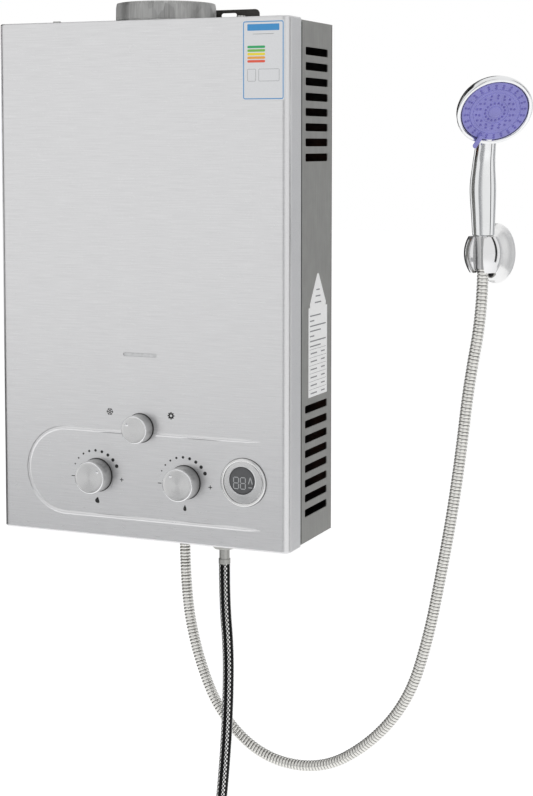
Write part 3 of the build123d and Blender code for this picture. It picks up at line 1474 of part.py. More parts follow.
lever_low = RIM_FRONT + LEVER_GAP
lever_angle = -90 - LEVER_TURN
foot_out = FACE_R - FACE_EDGE
with BuildPart() as spray_plate:
    with BuildSketch(SPRAY_SIDE):
        with BuildLine():
            Polyline(
                (0, -RIM_BACK - AXLE_L + SEAT),
                (AXLE_R, -RIM_BACK - AXLE_L + SEAT),
                (AXLE_R, -RIM_BACK + SEAT),
                (FACE_R, -RIM_BACK + SEAT),
                (FACE_R, -FACE_EDGE),
                (FACE_R - FACE_EDGE, 0),
                (RING_OUT, 0),
                (RING_OUT, RING_STEP),
                (RING_IN, RING_STEP),
                (RING_IN, 0),
                (HUB_R, 0),
                (HUB_R, HUB_H),
                (0, HUB_H),
                close=True,
            )
        make_face()
    revolve(axis=spray_axis)
    with BuildSketch(SPRAY):
        for ring_r, count in ((INNER_RING_R, INNER_NOZZLE_COUNT), (OUTER_RING_R, OUTER_NOZZLE_COUNT)):
            with PolarLocations(ring_r, count):
                RegularPolygon(NOZZLE_R, 4)
    extrude(amount=NOZZLE_H)
    with BuildSketch(SPRAY.offset(lever_low)):
        with PolarLocations((LEVER_ROOT + LEVER_REACH) / 2, 1, start_angle=lever_angle):
            SlotOverall(LEVER_REACH - LEVER_ROOT, LEVER_W)
    extrude(amount=LEVER_T)
    with BuildSketch(SPRAY.offset(-FACE_EDGE)):
        with PolarLocations((LEVER_ROOT + foot_out) / 2, 1, start_angle=lever_angle):
            SlotOverall(foot_out - LEVER_ROOT, LEVER_W)
    extrude(amount=lever_low + FACE_EDGE)
write(spray_plate, "spray_plate")
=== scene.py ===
"""A tankless gas water heater with its shower set, dressed for a studio picture.

All lengths are in metres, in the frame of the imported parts: the wall is the plane Y = 0, the front
faces -Y and Z = 0 is the line of the hanging slots.
"""

import json
from math import cos, hypot, pi, radians, sin, tau

import bmesh
import bpy
from mathutils import Matrix, Vector
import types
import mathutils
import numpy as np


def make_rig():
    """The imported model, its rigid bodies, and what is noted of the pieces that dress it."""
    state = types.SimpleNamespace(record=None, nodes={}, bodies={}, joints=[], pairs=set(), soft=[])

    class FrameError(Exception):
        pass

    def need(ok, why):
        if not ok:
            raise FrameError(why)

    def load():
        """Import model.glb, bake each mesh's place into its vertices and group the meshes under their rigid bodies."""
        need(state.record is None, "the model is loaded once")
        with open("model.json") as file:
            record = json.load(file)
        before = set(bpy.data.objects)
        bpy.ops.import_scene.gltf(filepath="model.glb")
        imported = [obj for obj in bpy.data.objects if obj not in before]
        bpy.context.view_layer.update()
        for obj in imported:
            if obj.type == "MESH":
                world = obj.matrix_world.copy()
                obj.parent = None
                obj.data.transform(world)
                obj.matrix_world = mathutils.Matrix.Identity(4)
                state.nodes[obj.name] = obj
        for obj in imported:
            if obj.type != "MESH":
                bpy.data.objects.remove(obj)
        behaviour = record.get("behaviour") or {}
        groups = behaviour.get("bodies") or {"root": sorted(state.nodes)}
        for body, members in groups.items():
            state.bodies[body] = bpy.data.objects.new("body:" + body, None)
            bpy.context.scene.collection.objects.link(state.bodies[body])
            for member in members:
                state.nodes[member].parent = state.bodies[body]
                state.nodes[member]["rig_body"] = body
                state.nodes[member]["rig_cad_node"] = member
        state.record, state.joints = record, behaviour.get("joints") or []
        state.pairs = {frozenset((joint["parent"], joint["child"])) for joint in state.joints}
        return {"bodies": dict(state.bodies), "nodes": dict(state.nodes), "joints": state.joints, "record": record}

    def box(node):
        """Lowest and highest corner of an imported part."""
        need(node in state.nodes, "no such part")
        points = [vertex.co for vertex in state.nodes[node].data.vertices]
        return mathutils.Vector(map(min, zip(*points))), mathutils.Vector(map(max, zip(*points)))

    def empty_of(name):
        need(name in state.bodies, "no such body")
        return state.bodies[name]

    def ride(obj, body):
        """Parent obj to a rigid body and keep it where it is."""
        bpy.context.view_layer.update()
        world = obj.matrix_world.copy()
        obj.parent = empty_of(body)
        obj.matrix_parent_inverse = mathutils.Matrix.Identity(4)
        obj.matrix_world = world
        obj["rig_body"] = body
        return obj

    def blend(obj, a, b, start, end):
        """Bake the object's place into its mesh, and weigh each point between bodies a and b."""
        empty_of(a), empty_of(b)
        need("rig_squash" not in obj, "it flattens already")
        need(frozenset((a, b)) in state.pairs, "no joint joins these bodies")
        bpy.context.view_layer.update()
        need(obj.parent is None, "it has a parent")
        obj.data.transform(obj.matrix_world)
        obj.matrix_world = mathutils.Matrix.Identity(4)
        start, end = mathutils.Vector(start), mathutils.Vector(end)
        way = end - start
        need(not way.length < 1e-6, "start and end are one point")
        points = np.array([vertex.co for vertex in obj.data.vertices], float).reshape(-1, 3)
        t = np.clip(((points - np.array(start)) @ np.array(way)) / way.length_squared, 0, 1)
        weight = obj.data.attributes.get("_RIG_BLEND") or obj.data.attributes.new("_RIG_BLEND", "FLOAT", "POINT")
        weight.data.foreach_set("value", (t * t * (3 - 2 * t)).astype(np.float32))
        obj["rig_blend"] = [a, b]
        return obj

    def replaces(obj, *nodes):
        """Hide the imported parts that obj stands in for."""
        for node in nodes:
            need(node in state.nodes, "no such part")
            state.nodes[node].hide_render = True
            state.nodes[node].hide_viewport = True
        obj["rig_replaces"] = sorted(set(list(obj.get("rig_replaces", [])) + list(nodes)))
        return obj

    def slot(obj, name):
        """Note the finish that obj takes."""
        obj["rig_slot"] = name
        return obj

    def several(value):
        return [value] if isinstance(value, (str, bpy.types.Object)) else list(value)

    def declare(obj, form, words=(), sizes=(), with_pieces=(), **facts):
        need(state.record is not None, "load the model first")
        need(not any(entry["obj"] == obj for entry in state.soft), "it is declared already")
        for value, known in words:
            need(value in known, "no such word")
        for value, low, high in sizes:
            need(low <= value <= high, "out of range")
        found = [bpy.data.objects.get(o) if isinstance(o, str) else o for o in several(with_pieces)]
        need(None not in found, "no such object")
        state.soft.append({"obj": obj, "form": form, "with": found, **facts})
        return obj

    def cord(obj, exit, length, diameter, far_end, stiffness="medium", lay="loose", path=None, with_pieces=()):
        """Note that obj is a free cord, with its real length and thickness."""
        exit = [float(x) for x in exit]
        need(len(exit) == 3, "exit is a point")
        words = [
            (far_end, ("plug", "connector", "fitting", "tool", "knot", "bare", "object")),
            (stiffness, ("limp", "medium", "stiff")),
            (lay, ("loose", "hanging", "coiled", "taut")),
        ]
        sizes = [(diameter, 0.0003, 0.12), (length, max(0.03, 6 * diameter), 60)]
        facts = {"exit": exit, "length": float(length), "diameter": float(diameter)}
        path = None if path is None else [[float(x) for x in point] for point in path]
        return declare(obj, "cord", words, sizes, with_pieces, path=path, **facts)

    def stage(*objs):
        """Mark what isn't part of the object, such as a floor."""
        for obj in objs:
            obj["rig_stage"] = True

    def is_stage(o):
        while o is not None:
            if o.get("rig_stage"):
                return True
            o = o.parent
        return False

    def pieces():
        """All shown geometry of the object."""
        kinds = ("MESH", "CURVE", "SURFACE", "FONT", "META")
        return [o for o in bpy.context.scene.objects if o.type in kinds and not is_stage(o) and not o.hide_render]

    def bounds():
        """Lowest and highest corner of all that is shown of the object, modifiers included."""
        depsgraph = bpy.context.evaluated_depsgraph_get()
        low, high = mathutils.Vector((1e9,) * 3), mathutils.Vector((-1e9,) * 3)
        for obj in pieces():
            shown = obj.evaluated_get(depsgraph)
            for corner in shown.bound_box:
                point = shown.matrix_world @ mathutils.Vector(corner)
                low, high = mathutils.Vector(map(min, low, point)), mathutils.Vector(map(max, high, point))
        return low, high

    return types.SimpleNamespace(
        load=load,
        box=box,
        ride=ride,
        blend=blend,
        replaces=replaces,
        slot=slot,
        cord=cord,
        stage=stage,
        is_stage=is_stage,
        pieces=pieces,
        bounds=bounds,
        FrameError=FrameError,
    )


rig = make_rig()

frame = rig.load()
nodes = frame["nodes"]
joints = {joint["name"]: joint for joint in frame["joints"]}
bounds_at_start = [list(corner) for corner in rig.bounds()]
slots = {subpart["node"]: subpart["material_slot"] for subpart in frame["record"]["subparts"]}

MM = 0.001
FRONT = -120 * MM
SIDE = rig.box("rear_case")[1].x
CASE_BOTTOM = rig.box("front_cover")[0].z
CASE_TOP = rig.box("front_cover")[1].z
OUT_OF_WALL = Vector((0, -1, 0))
RIGHT = Vector((1, 0, 0))
UP = Vector((0, 0, 1))
# The small flat that closes a turned face round its axis
CAP_R = 0.3 * MM


# Mesh helpers


def axis_frame(origin, axis, across):
    """A matrix whose Z runs along an axis and whose X lies across it."""
    z_axis = Vector(axis).normalized()
    across = Vector(across)
    x_axis = (across - z_axis * z_axis.dot(across)).normalized()
    y_axis = z_axis.cross(x_axis)
    turn = Matrix((x_axis, y_axis, z_axis)).transposed().to_4x4()
    return Matrix.Translation(origin) @ turn


def panel_frame(x, z, y=FRONT):
    """A place on the front: X to the right, Y upwards and Z out of the panel."""
    return axis_frame((x, y, z), OUT_OF_WALL, RIGHT)


def middle(node):
    """The middle of a node's box."""
    low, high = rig.box(node)
    return (low + high) / 2


def panel_at(node, y=FRONT):
    """A place on the front, or at another depth, over the middle of a node."""
    return panel_frame(middle(node).x, middle(node).z, y)


def half_width(node):
    """The radius of a round node."""
    low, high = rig.box(node)
    return (high.x - low.x) / 2


def around(angle, radius=1.0):
    """A point on a circle, at an angle in radians."""
    return radius * cos(angle), radius * sin(angle)


def put(name, data):
    """A new object in the scene."""
    thing = bpy.data.objects.new(name, data)
    bpy.context.scene.collection.objects.link(thing)
    return thing


def dress(name, mesh, material, body, stands_for=None, crease=32):
    """Make a mesh into a piece on a body, smooth up to a crease angle in degrees.

    A piece that stands for a CAD node takes over the node's slot.
    """
    mesh.materials.append(material)
    mesh.shade_smooth()
    mesh.set_sharp_from_angle(angle=radians(crease))
    piece = put(name, mesh)
    if body:
        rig.ride(piece, body)
    if stands_for:
        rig.replaces(piece, stands_for)
        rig.slot(piece, slots[stands_for])
    return piece


def settle(build, mesh):
    """Write a build into a mesh, with its faces turned outwards."""
    bmesh.ops.recalc_face_normals(build, faces=build.faces)
    build.to_mesh(mesh)
    build.free()
    return mesh


def merged(name, parts):
    """One mesh out of several, which are used up."""
    build = bmesh.new()
    for part in parts:
        build.from_mesh(part)
        bpy.data.meshes.remove(part)
    mesh = bpy.data.meshes.new(name)
    build.to_mesh(mesh)
    build.free()
    return mesh


def skin(name, rings, runs, loop=False):
    """A mesh through rings of points, closed by caps or back to its first ring.

    Its map holds the turn round the ring across and the run along the rings upwards.
    """
    sides = len(rings[0])
    points = [point for ring in rings for point in ring]
    faces = []
    coordinates = []
    count = len(rings)
    for row in range(count if loop else count - 1):
        following = (row + 1) % count
        for side in range(sides):
            beside = (side + 1) % sides
            corners = ((row, side), (row, beside), (following, beside), (following, side))
            faces.append([line * sides + spot for line, spot in corners])
            left = side / sides
            right = (side + 1) / sides
            low = runs[row]
            high = runs[row + 1]
            coordinates += [left, low, right, low, right, high, left, high]
    if not loop:
        for row, run in ((0, runs[0]), (count - 1, runs[-1])):
            faces.append([row * sides + side for side in range(sides)])
            for side in range(sides):
                coordinates += [side / sides, run]
    mesh = bpy.data.meshes.new(name)
    mesh.from_pydata(points, [], faces)
    layer = mesh.uv_layers.new(name="turned")
    layer.data.foreach_set("uv", coordinates)
    build = bmesh.new()
    build.from_mesh(mesh)
    return settle(build, mesh)


def lathe(name, outline, place, loop=False, sides=96, start=0.0):
    """A turned mesh: an outline of radius and height about the Z axis of a place."""
    angles = [tau * side / sides for side in range(sides)]
    rings = []
    for radius, height in outline:
        rings.append([place @ Vector((*around(angle, radius), height)) for angle in angles])
    runs = [start]
    ends = outline[1:] + outline[:1]
    for (radius, height), (next_radius, next_height) in zip(outline, ends):
        runs.append(runs[-1] + hypot(next_radius - radius, next_height - height))
    return skin(name, rings, runs, loop)


def turned(name, outline, place, material, body, stands_for=None, **shape):
    """A turned piece on a body."""
    mesh = lathe(name, outline, place, **shape)
    return dress(name, mesh, material, body, stands_for)


def band(inner, outer, low, high):
    """The outline of a plain ring between two radii and two heights."""
    return [(inner, low), (outer, low), (outer, high), (inner, high)]


def arc(centre, radius, start, end, steps=6):
    """Points of a round stretch of an outline, with its angles in degrees."""
    points = []
    for step in range(steps + 1):
        x, y = around(radians(start + (end - start) * step / steps), radius)
        points.append((centre[0] + x, centre[1] + y))
    return points


def rounded(width, height, radius):
    """The outline of a plate with round corners, about its middle."""
    across = width / 2 - radius
    tall = height / 2 - radius
    corners = ((across, tall), (-across, tall), (-across, -tall), (across, -tall))
    points = []
    for number, corner in enumerate(corners):
        points += arc(corner, radius, 90 * number, 90 * number + 90)
    return points


def disc(radius, steps=40):
    """The outline of a round plate about its middle."""
    return arc((0, 0), radius, 0, 360 - 360 / steps, steps - 1)


def bar(start, end, width):
    """The outline of a straight stroke of even width."""
    start = Vector(start)
    end = Vector(end)
    along = (end - start).normalized()
    half = Vector((-along.y, along.x)) * width / 2
    return [start + half, start - half, end - half, end + half]


class Prints:
    """Thin flat shapes on a carrying face, gathered into one mesh."""

    def __init__(self, place, thickness):
        self.place = place
        self.thickness = thickness
        self.build = bmesh.new()

    def ring(self, outline, offset, height):
        """New corners along an outline at a height."""
        points = [Vector((x + offset[0], y + offset[1], height)) for x, y in outline]
        return [self.build.verts.new(self.place @ point) for point in points]

    def wall(self, lower, upper):
        """New faces between two rings."""
        for index in range(len(lower)):
            following = (index + 1) % len(lower)
            self.build.faces.new((lower[index], lower[following], upper[following], upper[index]))

    def add(self, outline, offset=(0, 0), base=0.0, top=None):
        """Add a plate with an outline, standing from its base to its top."""
        low = self.ring(outline, offset, base)
        high = self.ring(outline, offset, self.thickness if top is None else top)
        self.build.faces.new(high)
        self.build.faces.new(low)
        self.wall(low, high)

    def frame(self, outer, inner, offset=(0, 0)):
        """Add a flat frame between two outlines with the same number of points."""
        sections = ((outer, 0.0), (outer, self.thickness), (inner, self.thickness), (inner, 0.0))
        loops = [self.ring(outline, offset, height) for outline, height in sections]
        for lower, upper in zip(loops, loops[1:] + loops[:1]):
            self.wall(lower, upper)

    def box(self, width, height, radius, line, offset=(0, 0)):
        """Add a frame with round corners, from its outer size and the width of its line."""
        inner = rounded(width - 2 * line, height - 2 * line, radius - line)
        self.frame(rounded(width, height, radius), inner, offset)

    def mesh(self, name):
        """The gathered shapes as a mesh."""
        return settle(self.build, bpy.data.meshes.new(name))

    def piece(self, name, material, body="heater"):
        """The gathered shapes as a piece on a body."""
        return dress(name, self.mesh(name), material, body)


# Materials


def srgb(red, green, blue):
    """A linear colour from display values of 0 to 255."""
    linear = []
    for value in (red, green, blue):
        share = value / 255
        linear.append(share / 12.92 if share <= 0.04045 else ((share + 0.055) / 1.055) ** 2.4)
    return (*linear, 1.0)


def shade(colour, factor):
    """A colour made lighter or darker."""
    return (*(min(1.0, value * factor) for value in colour[:3]), 1.0)


class Wiring:
    """A tree of shader nodes under construction."""

    def __init__(self, tree):
        self.tree = tree

    def join(self, value, socket):
        """Link a node's output to a socket, or set the socket to a plain value."""
        if isinstance(value, bpy.types.NodeSocket):
            self.tree.links.new(value, socket)
        else:
            socket.default_value = value

    def add(self, kind, inputs=None, **settings):
        """A new node with some of its settings and inputs."""
        node = self.tree.nodes.new(kind)
        for setting, value in settings.items():
            setattr(node, setting, value)
        for socket, value in (inputs or {}).items():
            self.join(value, node.inputs[socket])
        return node

    def math(self, operation, first, second=0.0):
        """One step of arithmetic."""
        return self.add("ShaderNodeMath", {0: first, 1: second}, operation=operation).outputs[0]

    def between(self, factor, low, high, start=0.3, end=0.7):
        """A factor spread between two values."""
        inputs = {"Value": factor, "From Min": start, "From Max": end, "To Min": low, "To Max": high}
        return self.add("ShaderNodeMapRange", inputs).outputs["Result"]


class Finish(Wiring):
    """A material with its shader and its own coordinates."""

    def __init__(self, name, colour, roughness, metallic=0.0, coordinates="Object", **constants):
        self.material = bpy.data.materials.new(name)
        self.material.use_nodes = True
        super().__init__(self.material.node_tree)
        self.shader = self.tree.nodes["Principled BSDF"]
        self.coordinates = self.add("ShaderNodeTexCoord").outputs[coordinates]
        self.colour = colour
        self.feed("Base Color", colour)
        self.feed("Roughness", roughness)
        self.feed("Metallic", metallic)
        for socket, value in constants.items():
            self.feed(socket.replace("_", " ").title(), value)

    def feed(self, socket, value):
        """Give one of the shader's inputs its value."""
        self.join(value, self.shader.inputs[socket])

    def stretched(self, scale):
        """The coordinates times one scale, or one for each axis."""
        scales = scale if isinstance(scale, tuple) else (scale, scale, scale)
        inputs = {"Vector": self.coordinates, "Scale": scales}
        return self.add("ShaderNodeMapping", inputs).outputs["Vector"]

    def noise(self, scale, detail=3.0):
        """Noise whose scale is in cells a metre."""
        inputs = {"Vector": self.stretched(scale), "Scale": 1.0, "Detail": detail}
        return self.add("ShaderNodeTexNoise", inputs).outputs["Fac"]

    def weigh(self, first, second, share):
        """The sum of two factors, with a share of the first and the rest of the second."""
        rest = self.math("MULTIPLY", second, 1 - share)
        return self.math("ADD", self.math("MULTIPLY", first, share), rest)

    def off_middle(self, factor):
        """How far a factor lies from a half."""
        return self.math("ABSOLUTE", self.math("SUBTRACT", factor, 0.5))

    def part(self, axis):
        """One of the coordinates by itself."""
        return self.add("ShaderNodeSeparateXYZ", {"Vector": self.coordinates}).outputs[axis]

    def mix(self, factor, low, high):
        """A colour between two others."""
        node = self.add("ShaderNodeMix", {"Factor": factor}, data_type="RGBA")
        low_socket, high_socket = (socket for socket in node.inputs if socket.type == "RGBA")
        self.join(low, low_socket)
        self.join(high, high_socket)
        return next(socket for socket in node.outputs if socket.type == "RGBA")

    def toned(self, factor, low, high):
        """The base colour times a factor that is spread between two values."""
        spread = self.between(factor, 0.0, 1.0)
        return self.mix(spread, shade(self.colour, low), shade(self.colour, high))

    def vary(self, factor, amount):
        """Make the base colour a little darker and lighter with a factor."""
        self.feed("Base Color", self.toned(factor, 1 - amount, 1 + amount))

    def roughen(self, factor, low, high, *span):
        """Spread the roughness between two values with a factor."""
        self.feed("Roughness", self.between(factor, low, high, *span))

    def bump(self, height, depth, strength=1.0):
        """Raise the surface by a height pattern of a given depth."""
        inputs = {"Strength": strength, "Distance": depth, "Height": height}
        self.feed("Normal", self.add("ShaderNodeBump", inputs).outputs["Normal"])


def brushed_steel():
    """Stainless sheet with a long horizontal grain."""
    finish = Finish("brushed_steel", srgb(216, 216, 217), 0.3, 1.0)
    grain = finish.noise((30, 1000, 1000), 5.0)
    scratches = finish.noise((70, 2600, 2600), 2.0)
    finish.vary(grain, 0.046)
    finish.roughen(scratches, 0.27, 0.36)
    finish.bump(scratches, 0.004 * MM, 0.6)
    return finish.material


BACK_SHEET_Y = -1.5 * MM


def sheet_steel():
    """Satin grey case sheet, with the darker back sheet behind it."""
    finish = Finish("case_sheet", srgb(154, 154, 151), 0.44, 1.0)
    mottle = finish.noise(60, 4.0)
    grain = finish.noise((900, 900, 40))
    rolled = finish.noise((160, 160, 1400))
    dark = finish.mix(finish.between(rolled, 0.0, 1.0), srgb(66, 65, 64), srgb(80, 79, 77))
    back = finish.math("GREATER_THAN", finish.part("Y"), BACK_SHEET_Y)
    finish.feed("Base Color", finish.mix(back, finish.toned(mottle, 0.95, 1.04), dark))
    finish.roughen(grain, 0.36, 0.50)
    finish.bump(grain, 0.006 * MM, 0.5)
    return finish.material


def galvanised():
    """Zinc-coated sheet with its crystal flakes and drawn streaks."""
    finish = Finish("galvanised", srgb(170, 170, 169), 0.4, 1.0)
    inputs = {"Vector": finish.stretched((120, 120, 60)), "Scale": 1.0}
    cells = finish.add("ShaderNodeTexVoronoi", inputs)
    flake = finish.add("ShaderNodeSeparateColor", {"Color": cells.outputs["Color"]})
    drawn = finish.weigh(finish.noise((1300, 1300, 9)), finish.noise((260, 260, 18), 4.0), 0.7)
    finish.vary(finish.weigh(flake.outputs["Red"], drawn, 0.2), 0.3)
    finish.roughen(flake.outputs["Green"], 0.36, 0.54, 0.0, 1.0)
    finish.bump(drawn, 0.02 * MM, 0.6)
    return finish.material


def spun_metal(name, colour, low, high, painted_shade_run=None):
    """Turned metal with fine rings round its axis, and painted shade that darkens its side from the edge towards the
    foot.
    """
    finish = Finish(name, colour, low, 1.0, "UV", anisotropic=0.75)
    tangent = finish.add("ShaderNodeTangent", direction_type="UV_MAP")
    finish.feed("Tangent", tangent.outputs["Tangent"])
    rings = finish.noise((2, 5200, 1))
    tone = finish.toned(rings, 0.96, 1.04)
    if painted_shade_run:
        # Painted shade: the side darkens from the edge towards the foot, where the knob meets the panel.
        depth = finish.between(finish.part("Y"), 1.0, 0.0, -painted_shade_run, 0.0)
        tone = finish.mix(depth, tone, shade(colour, 0.3))
    finish.feed("Base Color", tone)
    finish.roughen(rings, low, high)
    finish.bump(rings, 0.004 * MM, 0.4)
    return finish.material


def plated(name, colour, roughness):
    """Polished plating with faint smears and specks."""
    finish = Finish(name, colour, roughness, 1.0)
    smears = finish.noise((90, 90, 40), 4.0)
    finish.vary(smears, 0.02)
    finish.roughen(smears, roughness * 0.7, roughness * 1.6)
    return finish.material


CUP_Y = -38 * MM
BASE_Y = -31 * MM


def holder_metal():
    """Bright plating on the holder's cup, and a softer satin plating on its base by the wall."""
    finish = Finish("holder_metal", srgb(224, 224, 225), 0.11, 1.0)
    base = finish.between(finish.part("Y"), 0.0, 1.0, CUP_Y, BASE_Y)
    smears = finish.noise((90, 90, 40), 4.0)
    satin = finish.mix(finish.between(smears, 0.0, 1.0), srgb(228, 228, 228), srgb(236, 236, 236))
    finish.feed("Base Color", finish.mix(base, finish.colour, satin))
    finish.roughen(base, 0.11, 0.24, 0.0, 1.0)
    return finish.material


def cast(name, colour, roughness, grain):
    """Cast or rolled metal with an even grain."""
    finish = Finish(name, colour, roughness, 1.0)
    pores = finish.noise(grain, 5.0)
    finish.vary(pores, 0.12)
    finish.roughen(pores, roughness * 0.8, roughness * 1.25)
    finish.bump(pores, 0.05 * MM, 0.6)
    return finish.material


def moulded(name, colour, roughness):
    """Moulded plastic or rubber with a fine grain."""
    finish = Finish(name, colour, roughness)
    spark = finish.noise(1400, 2.0)
    finish.vary(finish.noise(70), 0.06)
    finish.roughen(spark, roughness * 0.85, roughness * 1.2)
    finish.bump(spark, 0.02 * MM, 0.5)
    return finish.material


def printed(name, colour, roughness=0.42):
    """Ink or film with a slightly uneven coat."""
    finish = Finish(name, colour, roughness)
    coat = finish.noise(900, 2.0)
    finish.vary(coat, 0.03)
    finish.roughen(coat, roughness * 0.9, roughness * 1.15)
    return finish.material


def glazing(name, colour, roughness):
    """Dark or frosted glass over a display or behind a slot."""
    finish = Finish(name, colour, roughness, coat_weight=0.6, coat_roughness=0.05)
    dust = finish.noise(500)
    finish.vary(dust, 0.08)
    finish.roughen(dust, roughness * 0.8, roughness * 1.3)
    return finish.material


RIB_PITCH = 3.5 * MM


def ribbed_steel():
    """Wound steel strip, with painted shade in the grooves between its turns."""
    finish = Finish("hose_steel", srgb(220, 219, 215), 0.24, 1.0, "UV")
    turn = finish.math("FRACT", finish.math("DIVIDE", finish.part("Y"), RIB_PITCH))
    # Painted shade: the colour darkens in the grooves between the turns
    groove = finish.between(finish.off_middle(turn), 0.0, 1.0, 0.34, 0.47)
    wear = finish.noise((14, 900, 1))
    crown = finish.toned(wear, 0.93, 1.06)
    finish.feed("Base Color", finish.mix(groove, crown, shade(finish.colour, 0.36)))
    finish.roughen(wear, 0.16, 0.28)
    return finish.material


BRAID_BANDS = 5
BRAID_STRANDS = 12
BRAID_PITCH = 4.6 * MM
SILVER_SHARE = 0.5
BAND_TURN = 0.98


def braided():
    """A braided sleeve: bright wires in lengthwise bands between black ones."""
    finish = Finish("braid", srgb(226, 226, 225), 0.34, 0.8, "UV")
    finish.feed("Specular IOR Level", 0.1)
    across = finish.part("X")
    along = finish.math("DIVIDE", finish.part("Y"), BRAID_PITCH)
    turns = finish.math("MULTIPLY", across, BRAID_STRANDS)
    waves = []
    for operation in ("ADD", "SUBTRACT"):
        diagonal = finish.math(operation, turns, along)
        waves.append(finish.math("SINE", finish.math("MULTIPLY", diagonal, pi)))
    weave = finish.math("ABSOLUTE", finish.math("MULTIPLY", *waves))
    bands = finish.math("ADD", finish.math("MULTIPLY", across, BRAID_BANDS), BAND_TURN)
    off_band = finish.off_middle(finish.math("FRACT", bands))
    silver = finish.math("LESS_THAN", off_band, SILVER_SHARE / 2)
    strand = finish.between(weave, 0.0, 1.0, 0.4, 0.46)
    wires = finish.mix(strand, srgb(6, 6, 7), finish.colour)
    yarns = finish.mix(strand, srgb(3, 3, 4), srgb(12, 12, 13))
    finish.feed("Base Color", finish.mix(silver, yarns, wires))
    finish.feed("Metallic", finish.math("MULTIPLY", silver, 0.85))
    finish.roughen(weave, 0.5, 0.3, 0.1, 0.6)
    return finish.material


# How far the painted shade on a knob's side reaches down from its edge
KNOB_PAINTED_SHADE_RUN = 17 * MM

chrome = plated("chrome", srgb(228, 229, 230), 0.055)
spun_face = spun_metal("spun_metal", srgb(210, 210, 210), 0.26, 0.36, KNOB_PAINTED_SHADE_RUN)
satin_steel = cast("satin_steel", srgb(172, 172, 169), 0.4, 700)
black_plastic = moulded("black_plastic", srgb(30, 30, 31), 0.42)
spray_plastic = moulded("spray_face", srgb(144, 142, 212), 0.36)
nozzle_rubber = moulded("nozzle_rubber", srgb(112, 106, 186), 0.5)
seal_rubber = moulded("seal_rubber", srgb(34, 34, 34), 0.6)
black_ink = printed("black_ink", srgb(14, 14, 15))
grey_ink = printed("grey_ink", srgb(128, 130, 132))
blue_ink = printed("blue_ink", srgb(64, 140, 196))
lcd_ink = printed("lcd_ink", srgb(172, 174, 176))
label_film = printed("label_film", srgb(214, 215, 217), 0.36)
plate_film = printed("plate_film", srgb(250, 250, 250), 0.36)

finishes = {
    "stainless": brushed_steel(),
    "case_sheet": sheet_steel(),
    "galvanised": galvanised(),
    "copper": cast("copper", srgb(205, 130, 92), 0.3, 160),
    "burner_steel": cast("burner_steel", srgb(150, 146, 140), 0.4, 220),
    "cast_alloy": cast("cast_alloy", srgb(168, 168, 166), 0.46, 420),
    "coil": moulded("coil", srgb(60, 44, 34), 0.4),
    "brass": cast("brass", srgb(206, 172, 96), 0.28, 300),
    "knob_metal": spun_face,
    "screw_steel": cast("screw_steel", srgb(186, 186, 184), 0.3, 500),
    "bezel": spun_metal("bezel", srgb(216, 216, 216), 0.09, 0.15),
    "display_glass": glazing("display_glass", srgb(74, 75, 77), 0.2),
    "window_glass": glazing("window_glass", srgb(204, 205, 206), 0.3),
    "black_plastic": black_plastic,
    "cell_jacket": printed("cell_jacket", srgb(58, 60, 66)),
    "ceramic": moulded("ceramic", srgb(226, 222, 212), 0.3),
    "lead_rubber": moulded("lead_rubber", srgb(150, 40, 34), 0.46),
    "seal_rubber": seal_rubber,
    "chrome": chrome,
    "hose_steel": ribbed_steel(),
    "braid": braided(),
    "spray_face": spray_plastic,
}
own_finishes = {
    "holder_body": holder_metal(),
    # The cone nut's plating is darker than the chrome's: painted shade for the nut sitting in the holder's slot
    "shower_cone_nut": plated("cone_metal_shaded", srgb(196, 196, 196), 0.14),
    "inlet_hose_ferrules": satin_steel,
    "inlet_hose_free_nut": satin_steel,
}
for node, slot in slots.items():
    for holder in nodes[node].material_slots:
        holder.material = own_finishes.get(node, finishes[slot])


# Cords


def cord_line(name, route, steps):
    """Points along a cord's smooth line, whose control points are the points of its route."""
    curve = bpy.data.curves.new(name, "CURVE")
    curve.dimensions = "3D"
    spline = curve.splines.new("NURBS")
    spline.points.add(len(route) - 1)
    for point, place in zip(spline.points, route):
        point.co = (*(value * MM for value in place), 1.0)
    spline.order_u = 3
    spline.use_endpoint_u = True
    spline.resolution_u = steps
    guide = bpy.data.objects.new(name, curve)
    line = bpy.data.meshes.new_from_object(guide)
    points = [vertex.co.copy() for vertex in line.vertices]
    bpy.data.objects.remove(guide)
    bpy.data.curves.remove(curve)
    bpy.data.meshes.remove(line)
    return points


def tube(name, points, sides, radius_at):
    """A tube along points, whose radius depends on the run along it and the turn round it."""
    rings = []
    runs = [0.0]
    across = OUT_OF_WALL
    for index, point in enumerate(points):
        before = points[max(index - 1, 0)]
        after = points[min(index + 1, len(points) - 1)]
        heading = (after - before).normalized()
        across = (across - heading * heading.dot(across)).normalized()
        beside = heading.cross(across)
        if index:
            runs.append(runs[-1] + (point - before).length)
        ring = []
        for side in range(sides):
            turn = side / sides
            reach = radius_at(runs[-1], turn)
            angle = tau * turn
            ring.append(point + across * reach * cos(angle) + beside * reach * sin(angle))
        rings.append(ring)
    return skin(name, rings, runs)


CORD_CREASE = 80


def hose(name, node, route, steps, sides, radius_at, body):
    """A hose in place of a node, and the points of its line."""
    points = cord_line(f"{node}_line", route, steps)
    mesh = tube(name, points, sides, radius_at)
    return dress(name, mesh, finishes[slots[node]], body, node, CORD_CREASE), points


HOSE_R = 5.75 * MM
HOSE_GROOVE = 1.3 * MM
HOSE_STEPS = 200
HOSE_SIDES = 24
RIB_ROUND = 0.45
# The points of both routes are in millimetres
HOSE_ROUTE = [
    (7, -30, -554), (7, -30, -615), (21, -31, -685), (50, -33, -749),
    (102, -35, -789), (170, -38, -790), (226, -40, -752), (266, -42, -700),
    (286, -44, -636), (299, -46, -572), (311, -47, -506), (320, -48, -442),
    (328, -49, -371), (341.3, -50, -298), (341.3, -50, -249.8),
]


def rib_radius(run, turn):
    """The wound strip's section: a round crown and a narrow groove on each turn."""
    share = (run / RIB_PITCH) % 1.0
    crown = sin(pi * share)
    return HOSE_R - HOSE_GROOVE * (1 - crown**RIB_ROUND)


